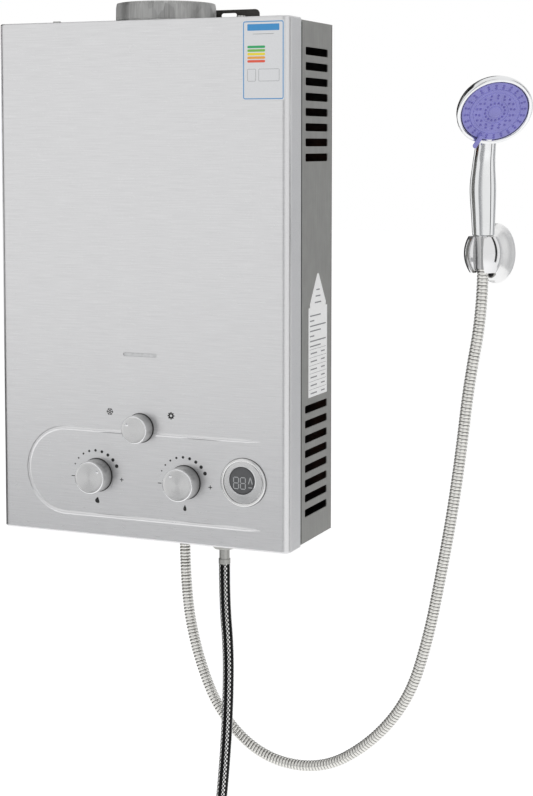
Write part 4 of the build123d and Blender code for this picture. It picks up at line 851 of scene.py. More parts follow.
hose_shape = (HOSE_ROUTE, HOSE_STEPS, HOSE_SIDES, rib_radius)
shower_hose, hose_points = hose("shower_hose_tube", "shower_hose", *hose_shape, None)
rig.blend(
    shower_hose,
    "heater",
    "hose_end",
    start=(0.226, -0.045, -0.752),
    end=(0.509, -0.045, -0.469),
)
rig.cord(
    shower_hose,
    exit=hose_points[0],
    length=0.921,
    diameter=2 * HOSE_R,
    far_end="object",
    stiffness="medium",
    lay="hanging",
    path=hose_points,
)

BRAID_R = 5.9 * MM
WIRE_DEPTH = 0.35 * MM
WIRE_FLAT = 1.6
INLET_STEPS = 96
INLET_SIDES = 90
INLET_ROUTE = [
    (66, -57, -575.5), (66, -57, -617), (70.5, -57, -668), (69.8, -57, -723),
    (67, -57, -775), (62.5, -57, -826), (57, -57, -874), (57, -57, -921),
]


def braid_radius(run, turn):
    """The sleeve's section: small diamonds where its wires cross."""
    along = run / BRAID_PITCH
    turns = BRAID_STRANDS * turn
    weave = sin(pi * (turns + along)) * sin(pi * (turns - along))
    return BRAID_R - WIRE_DEPTH * (1 - min(1.0, WIRE_FLAT * abs(weave)))


inlet_shape = (INLET_ROUTE, INLET_STEPS, INLET_SIDES, braid_radius)
inlet_hose, inlet_points = hose("inlet_hose_sleeve", "inlet_hose", *inlet_shape, "heater")
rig.cord(
    inlet_hose,
    exit=inlet_points[0],
    length=0.346,
    diameter=2 * BRAID_R,
    far_end="fitting",
    stiffness="medium",
    lay="hanging",
    path=inlet_points,
    with_pieces=[nodes["inlet_hose_ferrules"], nodes["inlet_hose_free_nut"]],
)


# Hose nuts under the case: six flats with turned corners

NUT_CHAMFER = 3.4 * MM
NUT_EDGE = 0.2 * MM
NUT_BORE = 6.2 * MM
NUT_SIDES = 72
NUT_CREASE = 20


def hose_nut(node):
    """A hexagon nut whose corners are turned down at both ends."""
    low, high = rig.box(node)
    flats = min(high.x - low.x, high.y - low.y) / 2
    corner = flats / cos(pi / 6)
    centre = Vector((middle(node).x, middle(node).y, 0))
    stations = (
        (low.z, NUT_BORE),
        (low.z, flats - NUT_CHAMFER / 2),
        (low.z + NUT_CHAMFER, corner),
        (high.z - NUT_CHAMFER / 3, corner),
        (high.z, flats - NUT_EDGE),
        (high.z, NUT_BORE),
    )
    rings = []
    for height, radius in stations:
        ring = []
        for side in range(NUT_SIDES):
            angle = tau * side / NUT_SIDES
            off_flat = (angle + pi / 6) % (pi / 3) - pi / 6
            reach = min(radius, flats / cos(off_flat))
            ring.append(centre + Vector((*around(angle, reach), height)))
        rings.append(ring)
    mesh = skin(f"{node}_turned", rings, range(len(rings) + 1), loop=True)
    dress(f"{node}_turned", mesh, satin_steel, "heater", node, NUT_CREASE)


hose_nut("inlet_hose_nut")
hose_nut("shower_hose_nut")


# Flue collar

COLLAR_R = 52 * MM
COLLAR_SHEET = 1 * MM
COLLAR_LOOP = {"loop": True, "sides": 144}
BEAD_R = 1.25 * MM
CRIMP_L = 4 * MM
CRIMP_IN = 0.8 * MM
LIP_OUT = 0.3 * MM
LIP_IN = 0.2 * MM

collar_low, collar_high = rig.box("flue_collar")
collar_place = axis_frame((middle("flue_collar").x, middle("flue_collar").y, 0), UP, RIGHT)
collar_in = COLLAR_R - COLLAR_SHEET
flange_r = half_width("flue_collar")
crimp_r = COLLAR_R - CRIMP_IN
collar_outline = [
    (collar_in, collar_low.z),
    (flange_r, collar_low.z),
    (flange_r, collar_low.z + COLLAR_SHEET),
    (COLLAR_R, collar_low.z + COLLAR_SHEET),
    (COLLAR_R, CASE_TOP),
    *arc((COLLAR_R, CASE_TOP + BEAD_R), BEAD_R, -80, 80),
    (COLLAR_R, collar_high.z - CRIMP_L),
    (crimp_r, collar_high.z - LIP_OUT),
    (crimp_r - LIP_OUT, collar_high.z),
    (crimp_r - COLLAR_SHEET + LIP_IN, collar_high.z),
    (crimp_r - COLLAR_SHEET, collar_high.z - LIP_OUT),
    (collar_in, collar_high.z - CRIMP_L),
]
zinc = finishes["galvanised"]
turned("flue_collar_turned", collar_outline, collar_place, zinc, "heater", "flue_collar", **COLLAR_LOOP)


# Knobs

KNOB_CAP_R = 0.4 * MM
KNOB_FOOT = 0.3 * MM
KNOB_DRAFT = 0.5 * MM
KNOB_EDGE = 0.9 * MM
KNOB_RIM = 1.1 * MM
KNOB_DISH = 0.35 * MM
SHOULDER_OUT = 0.05 * MM
SHOULDER_L = 0.4 * MM
EDGE_PROUD = 0.03 * MM
EDGE_IN = 0.2 * MM
EDGE_SINK = 0.3 * MM
# A thin black ring round each knob's foot: painted shadow of the gap under the knob
SHADOW_RING_IN = 2 * MM
SHADOW_RING_OUT = 0.6 * MM
SHADOW_RING_T = 0.5 * MM
POINTER_INSET = 5.5 * MM
POINTER_SIDES = 32
# The dimple's section: radius and height, in millimetres
POINTER_FORM = [(0.1, 0.02), (0.9, 0.05), (1.275, 0.14), (1.5, 0.16), (1.65, 0)]


def knob(node, body, pointer):
    """A turned knob with a bright edge, a dished face and a dimple that points, and a black ring round its foot as
    painted shadow.
    """
    low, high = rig.box(node)
    place = panel_at(node, high.y)
    radius = half_width(node)
    length = high.y - low.y
    crown = radius - KNOB_DRAFT
    lip = (crown - KNOB_EDGE, length - KNOB_EDGE)
    face_r = lip[0] - KNOB_RIM
    outline = [
        (KNOB_CAP_R, 0.0),
        (radius - KNOB_FOOT, 0.0),
        (radius, KNOB_FOOT),
        (crown + SHOULDER_OUT, lip[1] - SHOULDER_L),
        *arc(lip, KNOB_EDGE, 0, 90),
        (face_r, length),
        (face_r - KNOB_DISH, length - KNOB_DISH),
        (KNOB_CAP_R, length - KNOB_DISH),
    ]
    start = KNOB_EDGE - radius - length
    turned(f"{node}_turned", outline, place, spun_face, body, node, start=start)
    edge = arc(lip, KNOB_EDGE + EDGE_PROUD, 4, 88) + [(lip[0] - EDGE_IN, length - EDGE_SINK)]
    turned(f"{node}_edge", edge, place, chrome, body, loop=True)
    # Painted shadow: a black ring on the panel round the knob's foot
    painted_shadow_ring = band(radius - SHADOW_RING_IN, radius + SHADOW_RING_OUT, 0.0, SHADOW_RING_T)
    turned(f"{node}_washer", painted_shadow_ring, panel_at(node), black_plastic, "heater", loop=True)
    x, z = around(radians(pointer), radius - POINTER_INSET)
    spot = panel_frame(middle(node).x + x, middle(node).z + z, low.y + KNOB_DISH)
    dimple = [(reach * MM, height * MM) for reach, height in POINTER_FORM]
    turned(f"{node}_pointer", dimple, spot, chrome, body, sides=POINTER_SIDES)


knob("gas_knob", "gas_control", 35)
knob("water_knob", "water_control", 130)
knob("season_knob", "season_control", 148)


# Temperature display

ROUND = {"sides": 128}
ROUND_LOOP = {"loop": True, **ROUND}
BEZEL_RIM = 3.4 * MM
BEZEL_SINK = 1 * MM
BEZEL_PLATE = 2 * MM
BEZEL_GROOVE = 0.7 * MM
# A thin dark ring round the bezel's foot: painted shadow where the bezel meets the panel
BEZEL_SHADOW_OUT = 0.3 * MM
BEZEL_SHADOW_T = 0.4 * MM
LENS_PLATE = 0.12 * MM
LENS_EDGE = 0.15 * MM
TRIM_GAP = 0.05 * MM
TRIM_W = 1 * MM
TRIM_SLOPE = 0.3 * MM
TRIM_H = 0.35 * MM

bezel_place = panel_at("display_bezel")
bezel_r = half_width("display_bezel")
bezel_in = bezel_r - BEZEL_RIM
crown_r = BEZEL_RIM / 2
crown_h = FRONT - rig.box("display_bezel")[0].y - crown_r
groove_h = BEZEL_PLATE - BEZEL_GROOVE
bezel_outline = [
    (CAP_R, -BEZEL_SINK),
    (bezel_in, -BEZEL_SINK),
    (bezel_in, 0),
    (bezel_r, 0),
    (bezel_r, crown_h),
    *arc((bezel_r - crown_r, crown_h), crown_r, 10, 150, 10),
    (bezel_in, groove_h),
    (bezel_in - BEZEL_GROOVE, groove_h),
    (bezel_in - BEZEL_GROOVE, BEZEL_PLATE),
    (CAP_R, BEZEL_PLATE),
]
bezel_metal = finishes["bezel"]
turned("display_ring", bezel_outline, bezel_place, bezel_metal, "heater", "display_bezel", **ROUND)
# Painted shadow: a dark ring on the panel round the bezel
bezel_shadow_ring = band(bezel_in, bezel_r + BEZEL_SHADOW_OUT, 0, BEZEL_SHADOW_T)
turned("display_shadow_ring", bezel_shadow_ring, bezel_place, seal_rubber, "heater", **ROUND_LOOP)

lens_r = half_width("display_lens")
lens_place = panel_at("display_lens", FRONT - BEZEL_PLATE)
trim_outline = [
    (lens_r + TRIM_GAP, 0),
    (lens_r + TRIM_W, 0),
    (lens_r + TRIM_W - TRIM_SLOPE, TRIM_H),
    (lens_r + TRIM_SLOPE, TRIM_H),
]
turned("display_trim", trim_outline, lens_place, chrome, "heater", loop=True)
lens_outline = [(CAP_R, 0), (lens_r, 0), (lens_r - LENS_EDGE, LENS_PLATE), (CAP_R, LENS_PLATE)]
lens_glass = finishes["display_glass"]
turned("display_face", lens_outline, lens_place, lens_glass, "heater", "display_lens")

LCD_T = 0.05 * MM
DIGIT_W = 5.4 * MM
DIGIT_H = 11.6 * MM
DIGIT_STROKE = 0.8 * MM
DIGIT_GAP = 0.52 * MM
DIGIT_PLACES = (-6.4 * MM, 1.1 * MM)
DIGIT_DROP = -2.6 * MM
ARROW_X = 9.2 * MM
ARROW_RISE = 0.6 * MM
ARROW_H = 7 * MM
ARROW_W = 2.1 * MM
ARROW_STROKE = 0.9 * MM
DASH_DROP = -6.5 * MM
BORDER_IN = 0.2 * MM
BORDER_W = 0.7 * MM
BORDER_STEPS = 64


def digit(prints, x, y):
    """A seven-stroke figure eight, drawn as lit outlines."""
    half_w = DIGIT_W / 2
    half_h = DIGIT_H / 2
    for level in (-half_h, 0, half_h):
        stroke = bar((-half_w + DIGIT_GAP, level), (half_w - DIGIT_GAP, level), DIGIT_STROKE)
        prints.add(stroke, (x, y))
    for side in (-half_w, half_w):
        prints.add(bar((side, DIGIT_GAP), (side, half_h - DIGIT_GAP), DIGIT_STROKE), (x, y))
        prints.add(bar((side, -half_h + DIGIT_GAP), (side, -DIGIT_GAP), DIGIT_STROKE), (x, y))


lcd_place = panel_at("display_lens", FRONT - BEZEL_PLATE - LENS_PLATE)
lcd = Prints(lcd_place, LCD_T)
for place in DIGIT_PLACES:
    digit(lcd, place, DIGIT_DROP)
for side in (-1, 1):
    stroke = bar((side * ARROW_W, -ARROW_H / 2), (0, ARROW_H / 2), ARROW_STROKE)
    lcd.add(stroke, (ARROW_X, ARROW_RISE))
lcd.add(bar((-ARROW_W, 0), (ARROW_W, 0), DIGIT_STROKE), (ARROW_X, DASH_DROP))
lcd.piece("display_figures", lcd_ink)
border = Prints(lcd_place, LCD_T)
border_r = lens_r - BORDER_IN
border.frame(disc(border_r, BORDER_STEPS), disc(border_r - BORDER_W, BORDER_STEPS))
border.piece("display_border", black_ink)


# Dark strips behind the cover's side edges: painted shadow of the gap between the cover and the case

SHADOW_STRIP_W = 3.6 * MM
SHADOW_STRIP_T = 0.9 * MM
SHADOW_STRIP_END = 4 * MM

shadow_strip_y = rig.box("front_cover")[1].y + SHADOW_STRIP_W / 2
shadow_strip_l = CASE_TOP - CASE_BOTTOM - 2 * SHADOW_STRIP_END


def painted_shadow_strip(side):
    """The painted shadow strip on one side of the case."""
    centre = (side * SIDE, shadow_strip_y, (CASE_TOP + CASE_BOTTOM) / 2)
    strip = Prints(axis_frame(centre, RIGHT * side, UP), SHADOW_STRIP_T)
    strip.add(rounded(shadow_strip_l, SHADOW_STRIP_W, SHADOW_STRIP_W / 3))
    return strip.mesh("painted_shadow_strip")


shadow_strips = merged("cover_shadow_strips", (painted_shadow_strip(side) for side in (-1, 1)))
dress("cover_shadow_strips", shadow_strips, seal_rubber, "heater")


# Printed marks on the panel

INK = 0.08 * MM
DIAL_R = 27.2 * MM
DIAL_SHIFT = (-1.5 * MM, -1.6 * MM)
DIAL_START = 155
DIAL_END = 27
DOT_COUNT = 9
DOT_SMALL = 0.75 * MM
DOT_LARGE = 2.0 * MM
DOT_STEPS = 24
SIGN_SPREAD = 28.6 * MM
SIGN_DROP = -3 * MM
SIGN_W = 4 * MM
SIGN_STROKE = 0.8 * MM
MARK_DROP = -26.5 * MM
MARK_STEPS = 28
MARK_H = 3.2 * MM
FLAME_W = 2.2 * MM
FLAME_TAPER = 0.55
FLAME_LEAN = 0.5 * MM
DROP_W = 2.4 * MM
DROP_POINT = 1.2


def flame_width(angle):
    """A flame's side at an angle from its top: a leaf that leans to one side."""
    width = FLAME_W * sin(angle) * (1 - FLAME_TAPER * cos(angle))
    return width + FLAME_LEAN * cos(2 * angle)


def drop_width(angle):
    """A water drop's side at an angle from its pointed top."""
    return DROP_W * sin(angle) * sin(angle / 2) ** DROP_POINT


def dial_print(name, node, width_at):
    """Growing dots round a knob, with a minus and a plus at their ends and a small mark below."""
    prints = Prints(panel_at(node), INK)
    for number in range(DOT_COUNT):
        share = number / (DOT_COUNT - 1)
        dot = disc(DOT_SMALL + (DOT_LARGE - DOT_SMALL) * share, DOT_STEPS)
        x, y = around(radians(DIAL_START + (DIAL_END - DIAL_START) * share), DIAL_R)
        prints.add(dot, (DIAL_SHIFT[0] + x, DIAL_SHIFT[1] + y))
    for side in (-1, 1):
        stroke = bar((-SIGN_W / 2, 0), (SIGN_W / 2, 0), SIGN_STROKE)
        prints.add(stroke, (side * SIGN_SPREAD, SIGN_DROP))
    for side in (-1, 1):
        stroke = bar((0, side * SIGN_STROKE / 2), (0, side * SIGN_W / 2), SIGN_STROKE)
        prints.add(stroke, (SIGN_SPREAD, SIGN_DROP))
    angles = [tau * step / MARK_STEPS for step in range(MARK_STEPS)]
    prints.add([(width_at(angle), MARK_H * cos(angle)) for angle in angles], (0, MARK_DROP))
    prints.piece(name, black_ink)


dial_print("gas_dial_print", "gas_knob", flame_width)
dial_print("water_dial_print", "water_knob", drop_width)

SEASON_SPREAD = 35.2 * MM
SEASON_RISE = 14.8 * MM
FLAKE_ARMS = 6
FLAKE_IN = 0.5 * MM
FLAKE_R = 3.7 * MM
FLAKE_STROKE = 0.85 * MM
TWIG_AT = 0.62
TWIG_L = 1.5 * MM
TWIG_LEAN = 50
TWIG_STROKE = 0.75 * MM
SUN_OUT = 2.8 * MM
SUN_IN = 1.3 * MM
SUN_RAYS = 8
RAY_IN = 2.7 * MM
RAY_OUT = 3.8 * MM
RAY_STROKE = 1.5 * MM

season_marks = Prints(panel_at("season_knob"), INK)
flake_place = (-SEASON_SPREAD, SEASON_RISE)
sun_place = (SEASON_SPREAD, SEASON_RISE)
for arm in range(FLAKE_ARMS):
    angle = tau * arm / FLAKE_ARMS
    heading = Vector(around(angle))
    season_marks.add(bar(heading * FLAKE_IN, heading * FLAKE_R, FLAKE_STROKE), flake_place)
    root = heading * FLAKE_R * TWIG_AT
    for lean in (-TWIG_LEAN, TWIG_LEAN):
        twig = Vector(around(angle + radians(lean))) * TWIG_L
        season_marks.add(bar(root, root + twig, TWIG_STROKE), flake_place)
season_marks.frame(disc(SUN_OUT), disc(SUN_IN), sun_place)
for ray in range(SUN_RAYS):
    heading = Vector(around(tau * ray / SUN_RAYS))
    season_marks.add(bar(heading * RAY_IN, heading * RAY_OUT, RAY_STROKE), sun_place)
season_marks.piece("season_print", black_ink)


# Label on the front's corner

LABEL_X = 137.5 * MM
LABEL_Z = -54 * MM
LABEL_W = 45 * MM
LABEL_H = 78 * MM
LABEL_ROUND = 2 * MM
FILM = 0.12 * MM
LABEL_INK = INK / 2
FRAME_IN = 1 * MM
FRAME_W = 0.9 * MM
HEADING = rounded(34 * MM, 6.4 * MM, 0.6 * MM)
HEADING_RISE = 32 * MM
RULE = rounded(22 * MM, 0.4 * MM, 0.1 * MM)
RULE_RISE = 25.5 * MM
# The two boxes: place across and width
BOXES = ((-12.5 * MM, 9 * MM), (6 * MM, 22 * MM))
BOX_H = 12 * MM
BOX_ROUND = 1 * MM
BOX_LINE = 0.3 * MM
BOX_DROP = -14.5 * MM
CHIP = rounded(19 * MM, 2.4 * MM, 1.15 * MM)
CHIP_X = -7.5 * MM
CHIP_RISE = 13 * MM
CHIP_PITCH = 3.5 * MM
CHIP_COLOURS = (
    srgb(52, 160, 100),
    srgb(120, 180, 80),
    srgb(230, 210, 60),
    srgb(226, 160, 70),
    srgb(220, 90, 70),
)

label = Prints(panel_frame(LABEL_X, LABEL_Z), FILM)
label.add(rounded(LABEL_W, LABEL_H, LABEL_ROUND))
label.piece("corner_label", label_film)

label_face = panel_frame(LABEL_X, LABEL_Z, FRONT - FILM)
label_blue = Prints(label_face, LABEL_INK)
label_blue.box(LABEL_W - 2 * FRAME_IN, LABEL_H - 2 * FRAME_IN, LABEL_ROUND, FRAME_W)
label_blue.add(HEADING, (0, HEADING_RISE))
label_blue.piece("corner_label_frame", blue_ink)

label_grey = Prints(label_face, LABEL_INK)
for x, width in BOXES:
    label_grey.box(width, BOX_H, BOX_ROUND, BOX_LINE, (x, BOX_DROP))
label_grey.add(RULE, (0, RULE_RISE))
label_grey.piece("corner_label_boxes", grey_ink)

for number, colour in enumerate(CHIP_COLOURS):
    chip = Prints(label_face, LABEL_INK)
    chip.add(CHIP, (CHIP_X, CHIP_RISE - number * CHIP_PITCH))
    chip.piece(f"corner_label_chip_{number + 1}", printed(f"chip_ink_{number + 1}", colour))


# Label on the case's right side, with plain bars where it has its rows of words

PLATE_FRONT = -65 * MM
PLATE_BACK = -13 * MM
PLATE_LOW = CASE_BOTTOM + 149.4 * MM
PLATE_HIGH = CASE_BOTTOM + 241 * MM
PLATE_TIP = CASE_BOTTOM + 275.5 * MM
SHOULDER_SHARE = 0.84
EAR_IN = 2 * MM
EAR_RISE = 3 * MM
EAR_R = 2.4 * MM
TIP_R = 3 * MM
# Bars reach across the plate by shares of its half width
TABLE_ROWS = 6
TABLE_LOW = 3.6 * MM
TABLE_PITCH = 8.2 * MM
TABLE_BARS = ((-0.78, -0.1), (0.35, 0.75))
TABLE_RULE = 0.9
LINE_ROWS = 7
LINE_LOW = 52 * MM
LINE_PITCH = 5.2 * MM
LINE_START = -0.85
LINE_REACH = (0.3, 0.85, -0.4)
TIP_ROWS = 3
TIP_LOW = 4.55 * MM
TIP_PITCH = 6.5 * MM
TIP_REACH = 0.34
TIP_TAPER = 0.08
WORD_T = 1.3 * MM
RULE_T = 0.35 * MM

plate_y = (PLATE_FRONT + PLATE_BACK) / 2
plate_half = (PLATE_BACK - PLATE_FRONT) / 2
plate_high = PLATE_HIGH - PLATE_LOW
shoulder = plate_half * SHOULDER_SHARE
ear_x = shoulder - EAR_IN
ear_y = plate_high + EAR_RISE
plate_outline = [
    (-plate_half, 0),
    (plate_half, 0),
    (plate_half, plate_high),
    (shoulder, plate_high),
    *arc((ear_x, ear_y), EAR_R, -30, 40),
    *arc((0, PLATE_TIP - PLATE_LOW - TIP_R), TIP_R, 35, 145),
    *arc((-ear_x, ear_y), EAR_R, 140, 210),
    (-shoulder, plate_high),
    (-plate_half, plate_high),
]
side_label = Prints(axis_frame((SIDE, plate_y, PLATE_LOW), RIGHT, (0, 1, 0)), FILM)
side_label.add(plate_outline)
side_label.piece("side_label", plate_film)

side_bars = Prints(axis_frame((SIDE + FILM, plate_y, PLATE_LOW), RIGHT, (0, 1, 0)), LABEL_INK)


def plate_bar(start, end, height, thickness=WORD_T):
    """A bar across the plate."""
    side_bars.add(bar((start * plate_half, height), (end * plate_half, height), thickness))


for number in range(TABLE_ROWS):
    row = TABLE_LOW + number * TABLE_PITCH
    for start, end in TABLE_BARS:
        plate_bar(start, end, row)
    plate_bar(-TABLE_RULE, TABLE_RULE, row + TABLE_PITCH / 2, RULE_T)
for number in range(LINE_ROWS):
    plate_bar(LINE_START, LINE_REACH[number % len(LINE_REACH)], LINE_LOW + number * LINE_PITCH)
for number in range(TIP_ROWS):
    reach = TIP_REACH - TIP_TAPER * number
    plate_bar(-reach, reach, plate_high + TIP_LOW + number * TIP_PITCH)
side_bars.piece("side_label_rules", grey_ink)


# Handset

spray_axis = Vector(joints["spray_selector_turn"]["axis"])
spray_origin = Vector(joints["spray_selector_turn"]["pos_m"])
spray_place = axis_frame(spray_origin, spray_axis, UP.cross(spray_axis))

# Handle sections: height above its foot, lean ahead, tilt in degrees and radius, in millimetres
HANDLE_FORM = [
    (0.8, 0, 0, 11.2),
    (20, -1, 0, 12.2),
    (46, -3, 0, 13.3),
    (68, -1, 3, 11.6),
    (86, 4, 14, 10.4),
    (104, 9, 28, 10),
    (121, 19, 45, 6),
]
HANDLE_STEPS = 12
HANDLE_SIDES = 128
# Head sections behind the face: depth and radius, in millimetres
BOWL_FORM = [(6, 36), (11, 33.4), (17, 26), (21, 15.4), (22, 2)]
BOWL_STEPS = 10
BOWL_CAP_R = 2 * MM
SHELL_CREASE = 40
FACETS = 6
FACET_TURN = -17
FACET_ROUND = 12
FACET_STEPS = 5
FACET_CROWN = 0.34
FOOT_R = 10.4
SPIGOT_R = 6
SPIGOT_L = 12

facing = Vector((spray_axis.x, spray_axis.y, 0)).normalized()
swivel_place = Vector(joints["handset_swivel"]["pos_m"])
foot_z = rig.box("handset_body")[0].z + SPIGOT_L * MM
handle_foot = Vector((swivel_place.x, swivel_place.y, foot_z))


def flowing(stations, steps):
    """Values on a smooth line through a few stations."""
    values = []
    for index in range(len(stations) - 1):
        near = [stations[min(max(index + step, 0), len(stations) - 1)] for step in (-1, 0, 1, 2)]
        for step in range(steps):
            share = step / steps
            value = []
            for before, start, end, after in zip(*near):
                slope = (end - before) * share
                bend = (2 * before - 5 * start + 4 * end - after) * share**2
                twist = (3 * start - before - 3 * end + after) * share**3
                value.append(start + (slope + bend + twist) / 2)
            values.append(value)
    return values + [list(stations[-1])]


def facet_reach(angle):
    """How far a softly faceted section reaches at an angle from a flat, for corners at distance 1."""
    width = 360 / FACETS
    flat = 0
    for step in range(-FACET_STEPS, FACET_STEPS + 1):
        off_middle = (angle + step * FACET_ROUND / FACET_STEPS + width / 2) % width - width / 2
        flat += cos(radians(width / 2)) / cos(radians(off_middle))
    flat /= 2 * FACET_STEPS + 1
    return flat + FACET_CROWN * (1 - flat)


def handle_ring(height, ahead, tilt, radius, faceted=True):
    """One section of the handle."""
    heading = facing * sin(radians(tilt)) + UP * cos(radians(tilt))
    beside = UP.cross(facing)
    front = beside.cross(heading)
    centre = handle_foot + (UP * height + facing * ahead) * MM
    ring = []
    for side in range(HANDLE_SIDES):
        angle = 360 * side / HANDLE_SIDES
        reach = radius * MM * (facet_reach(angle - FACET_TURN) if faceted else 1)
        turn = radians(angle)
        ring.append(centre + front * reach * cos(turn) + beside * reach * sin(turn))
    return ring


handle_rings = [handle_ring(height, 0, 0, SPIGOT_R, False) for height in (-SPIGOT_L, 0)]
handle_rings += [handle_ring(0, 0, 0, FOOT_R)]
handle_rings += [handle_ring(*station) for station in flowing(HANDLE_FORM, HANDLE_STEPS)]
handle_mesh = skin("handset_handle", handle_rings, range(len(handle_rings)))
bowl_outline = [(BOWL_CAP_R, -BOWL_FORM[0][0] * MM)]
bowl_outline += [(radius * MM, -depth * MM) for depth, radius in flowing(BOWL_FORM, BOWL_STEPS)]
bowl_mesh = lathe("handset_bowl", bowl_outline, spray_place, **ROUND)
shell_mesh = merged("handset_shell", (handle_mesh, bowl_mesh))
dress("handset_shell", shell_mesh, chrome, "handset", "handset_body", SHELL_CREASE)

RIM_R = 37 * MM
RIM_IN = 32.8 * MM
RIM_FRONT = 1 * MM
RIM_BACK = 6 * MM
RIM_TAPER = 0.8 * MM

rim_crown = (RIM_R - RIM_IN) / 2
rim_h = RIM_FRONT - rim_crown
rim_outline = [
    (RIM_IN, -RIM_BACK),
    (RIM_R - RIM_TAPER, -RIM_BACK),
    (RIM_R, rim_h),
    *arc((RIM_R - rim_crown, rim_h), rim_crown, 15, 165, 8),
    (RIM_IN, rim_h),
]
turned("handset_ring", rim_outline, spray_place, chrome, "handset", "handset_rim", **ROUND_LOOP)

FACE_R = 32.3 * MM
FACE_BACK = 5.7 * MM
FACE_EDGE = 1.2 * MM
GROOVE_R = 24.6 * MM
GROOVE = 0.5 * MM
RING_OUT = 21 * MM
RING_IN = 13 * MM
RING_STEP = 0.6 * MM
RING_SLOPE = 0.4 * MM
HUB_R = 6 * MM
HUB_H = 1.2 * MM
HUB_FOOT = 0.6 * MM
HUB_EDGE = 0.5 * MM
HUB_DROP = 0.3 * MM

face_outline = [
    (CAP_R, -FACE_BACK),
    (FACE_R, -FACE_BACK),
    *arc((FACE_R - FACE_EDGE, -FACE_EDGE), FACE_EDGE, 0, 90),
    (GROOVE_R + GROOVE, 0),
    (GROOVE_R, -GROOVE),
    (GROOVE_R - GROOVE, 0),
    (RING_OUT + RING_SLOPE, 0),
    (RING_OUT, RING_STEP),
    (RING_IN, RING_STEP),
    (RING_IN - RING_SLOPE, 0),
    (HUB_R + HUB_FOOT, 0),
    (HUB_R, HUB_H - HUB_DROP),
    (HUB_R - HUB_EDGE, HUB_H),
    (CAP_R, HUB_H),
]
selector = "spray_selector"
turned("spray_face", face_outline, spray_place, spray_plastic, selector, "spray_plate", **ROUND)

# A dark ring sunk in the gap between the spray face and the rim: painted shadow of the gap
GAP_LAP = 0.2 * MM
GAP_DEPTH = 0.9 * MM
GAP_BACK = 2 * MM

gap_shadow_ring = band(FACE_R - GAP_LAP, RIM_IN + GAP_LAP, -GAP_BACK, -GAP_DEPTH)
turned("spray_gap_shadow_ring", gap_shadow_ring, spray_place, seal_rubber, "handset", **ROUND_LOOP)

NUB_H = 0.9 * MM
NUB_R = 1.15 * MM
NUB_SINK = 0.1 * MM
NUB_SIDES = 12
NUB_CREASE = 50
NUB_OUTLINE = [(NUB_R, 0), (NUB_R * 0.8, NUB_H * 0.8), (NUB_R * 0.5, NUB_H)]
# Rings of nozzles: radius, count and height of the face below them
NUB_RINGS = (
    (9.6 * MM, 16, 0.0),
    (15.4 * MM, 14, RING_STEP),
    (18.6 * MM, 18, RING_STEP),
    (26.6 * MM, 24, 0.0),
    (29.4 * MM, 24, 0.0),
)


def nubs():
    """The nozzles one by one."""
    for radius, count, level in NUB_RINGS:
        for number in range(count):
            x, y = around(tau * (number + 0.5) / count, radius)
            seat = spray_place @ Matrix.Translation((x, y, level - NUB_SINK))
            yield lathe("nub", NUB_OUTLINE, seat, sides=NUB_SIDES)


nub_mesh = merged("spray_nozzles", nubs())
dress("spray_nozzles", nub_mesh, nozzle_rubber, selector, crease=NUB_CREASE)

LEVER_TURN = 21
LEVER_ROOT = 26.5 * MM
LEVER_REACH = 41.5 * MM
LEVER_W = 3.8 * MM
LEVER_ROUND = 1.8 * MM
LEVER_LOW = 1.4 * MM
LEVER_HIGH = 4.8 * MM
LEVER_SINK = -0.2 * MM
LEVER_SOFT = 0.7 * MM

lever_turn = Matrix.Rotation(radians(-90 - LEVER_TURN), 4, "Z")
lever_shift = Matrix.Translation(((LEVER_ROOT + LEVER_REACH) / 2, 0, 0))
lever = Prints(spray_place @ lever_turn @ lever_shift, LEVER_HIGH)
lever.add(rounded(LEVER_REACH - LEVER_ROOT, LEVER_W, LEVER_ROUND), base=LEVER_LOW)
foot_l = FACE_R - FACE_EDGE - LEVER_ROOT
foot_place = ((foot_l + LEVER_ROOT - LEVER_REACH) / 2, 0)
lever.add(rounded(foot_l, LEVER_W, LEVER_ROUND), foot_place, LEVER_SINK, LEVER_LOW)
lever_piece = lever.piece("spray_lever", spray_plastic, selector)
softened = lever_piece.modifiers.new("soft_edges", "BEVEL")
softened.width = LEVER_SOFT
softened.segments = 3


# Set screw in a small boss under the front of the holder's base

SCREW_X = 2.4 * MM
SCREW_Z = -263.8 * MM
SCREW_TILT = 8
BOSS_R = 4.2 * MM
BOSS_SINK = 6 * MM
BOSS_PROUD = 0.8 * MM
BOSS_EDGE = 0.3 * MM
BOSS_SIDES = 48
SCREW_R = 3 * MM
SCREW_DEPTH = 1.2 * MM
SCREW_EDGE = 0.2 * MM
SCREW_CAP_R = 0.2 * MM
SOCKET_R = 1.65 * MM
SOCKET_FLOOR_R = 1.5 * MM

bpy.context.view_layer.update()
holder_base = nodes["holder_body"]
to_holder = holder_base.matrix_world.inverted()
ray_start = to_holder @ Vector((swivel_place.x + SCREW_X, FRONT, SCREW_Z))
_, seat, _, _ = holder_base.ray_cast(ray_start, to_holder.to_3x3() @ -OUT_OF_WALL)
tilt = radians(SCREW_TILT)
boss_axis = OUT_OF_WALL * cos(tilt) - UP * sin(tilt)
boss_place = axis_frame(holder_base.matrix_world @ seat, boss_axis, RIGHT)
boss_outline = [
    (SCREW_R, -BOSS_SINK),
    (BOSS_R, -BOSS_SINK),
    (BOSS_R, BOSS_PROUD - BOSS_EDGE),
    (BOSS_R - BOSS_EDGE, BOSS_PROUD),
    (SCREW_R + SCREW_EDGE, BOSS_PROUD),
    (SCREW_R, BOSS_PROUD - SCREW_EDGE),
]
turned("holder_boss", boss_outline, boss_place, satin_steel, "heater", loop=True, sides=BOSS_SIDES)
screw_top = BOSS_PROUD - SCREW_DEPTH
socket_floor = screw_top - SCREW_DEPTH
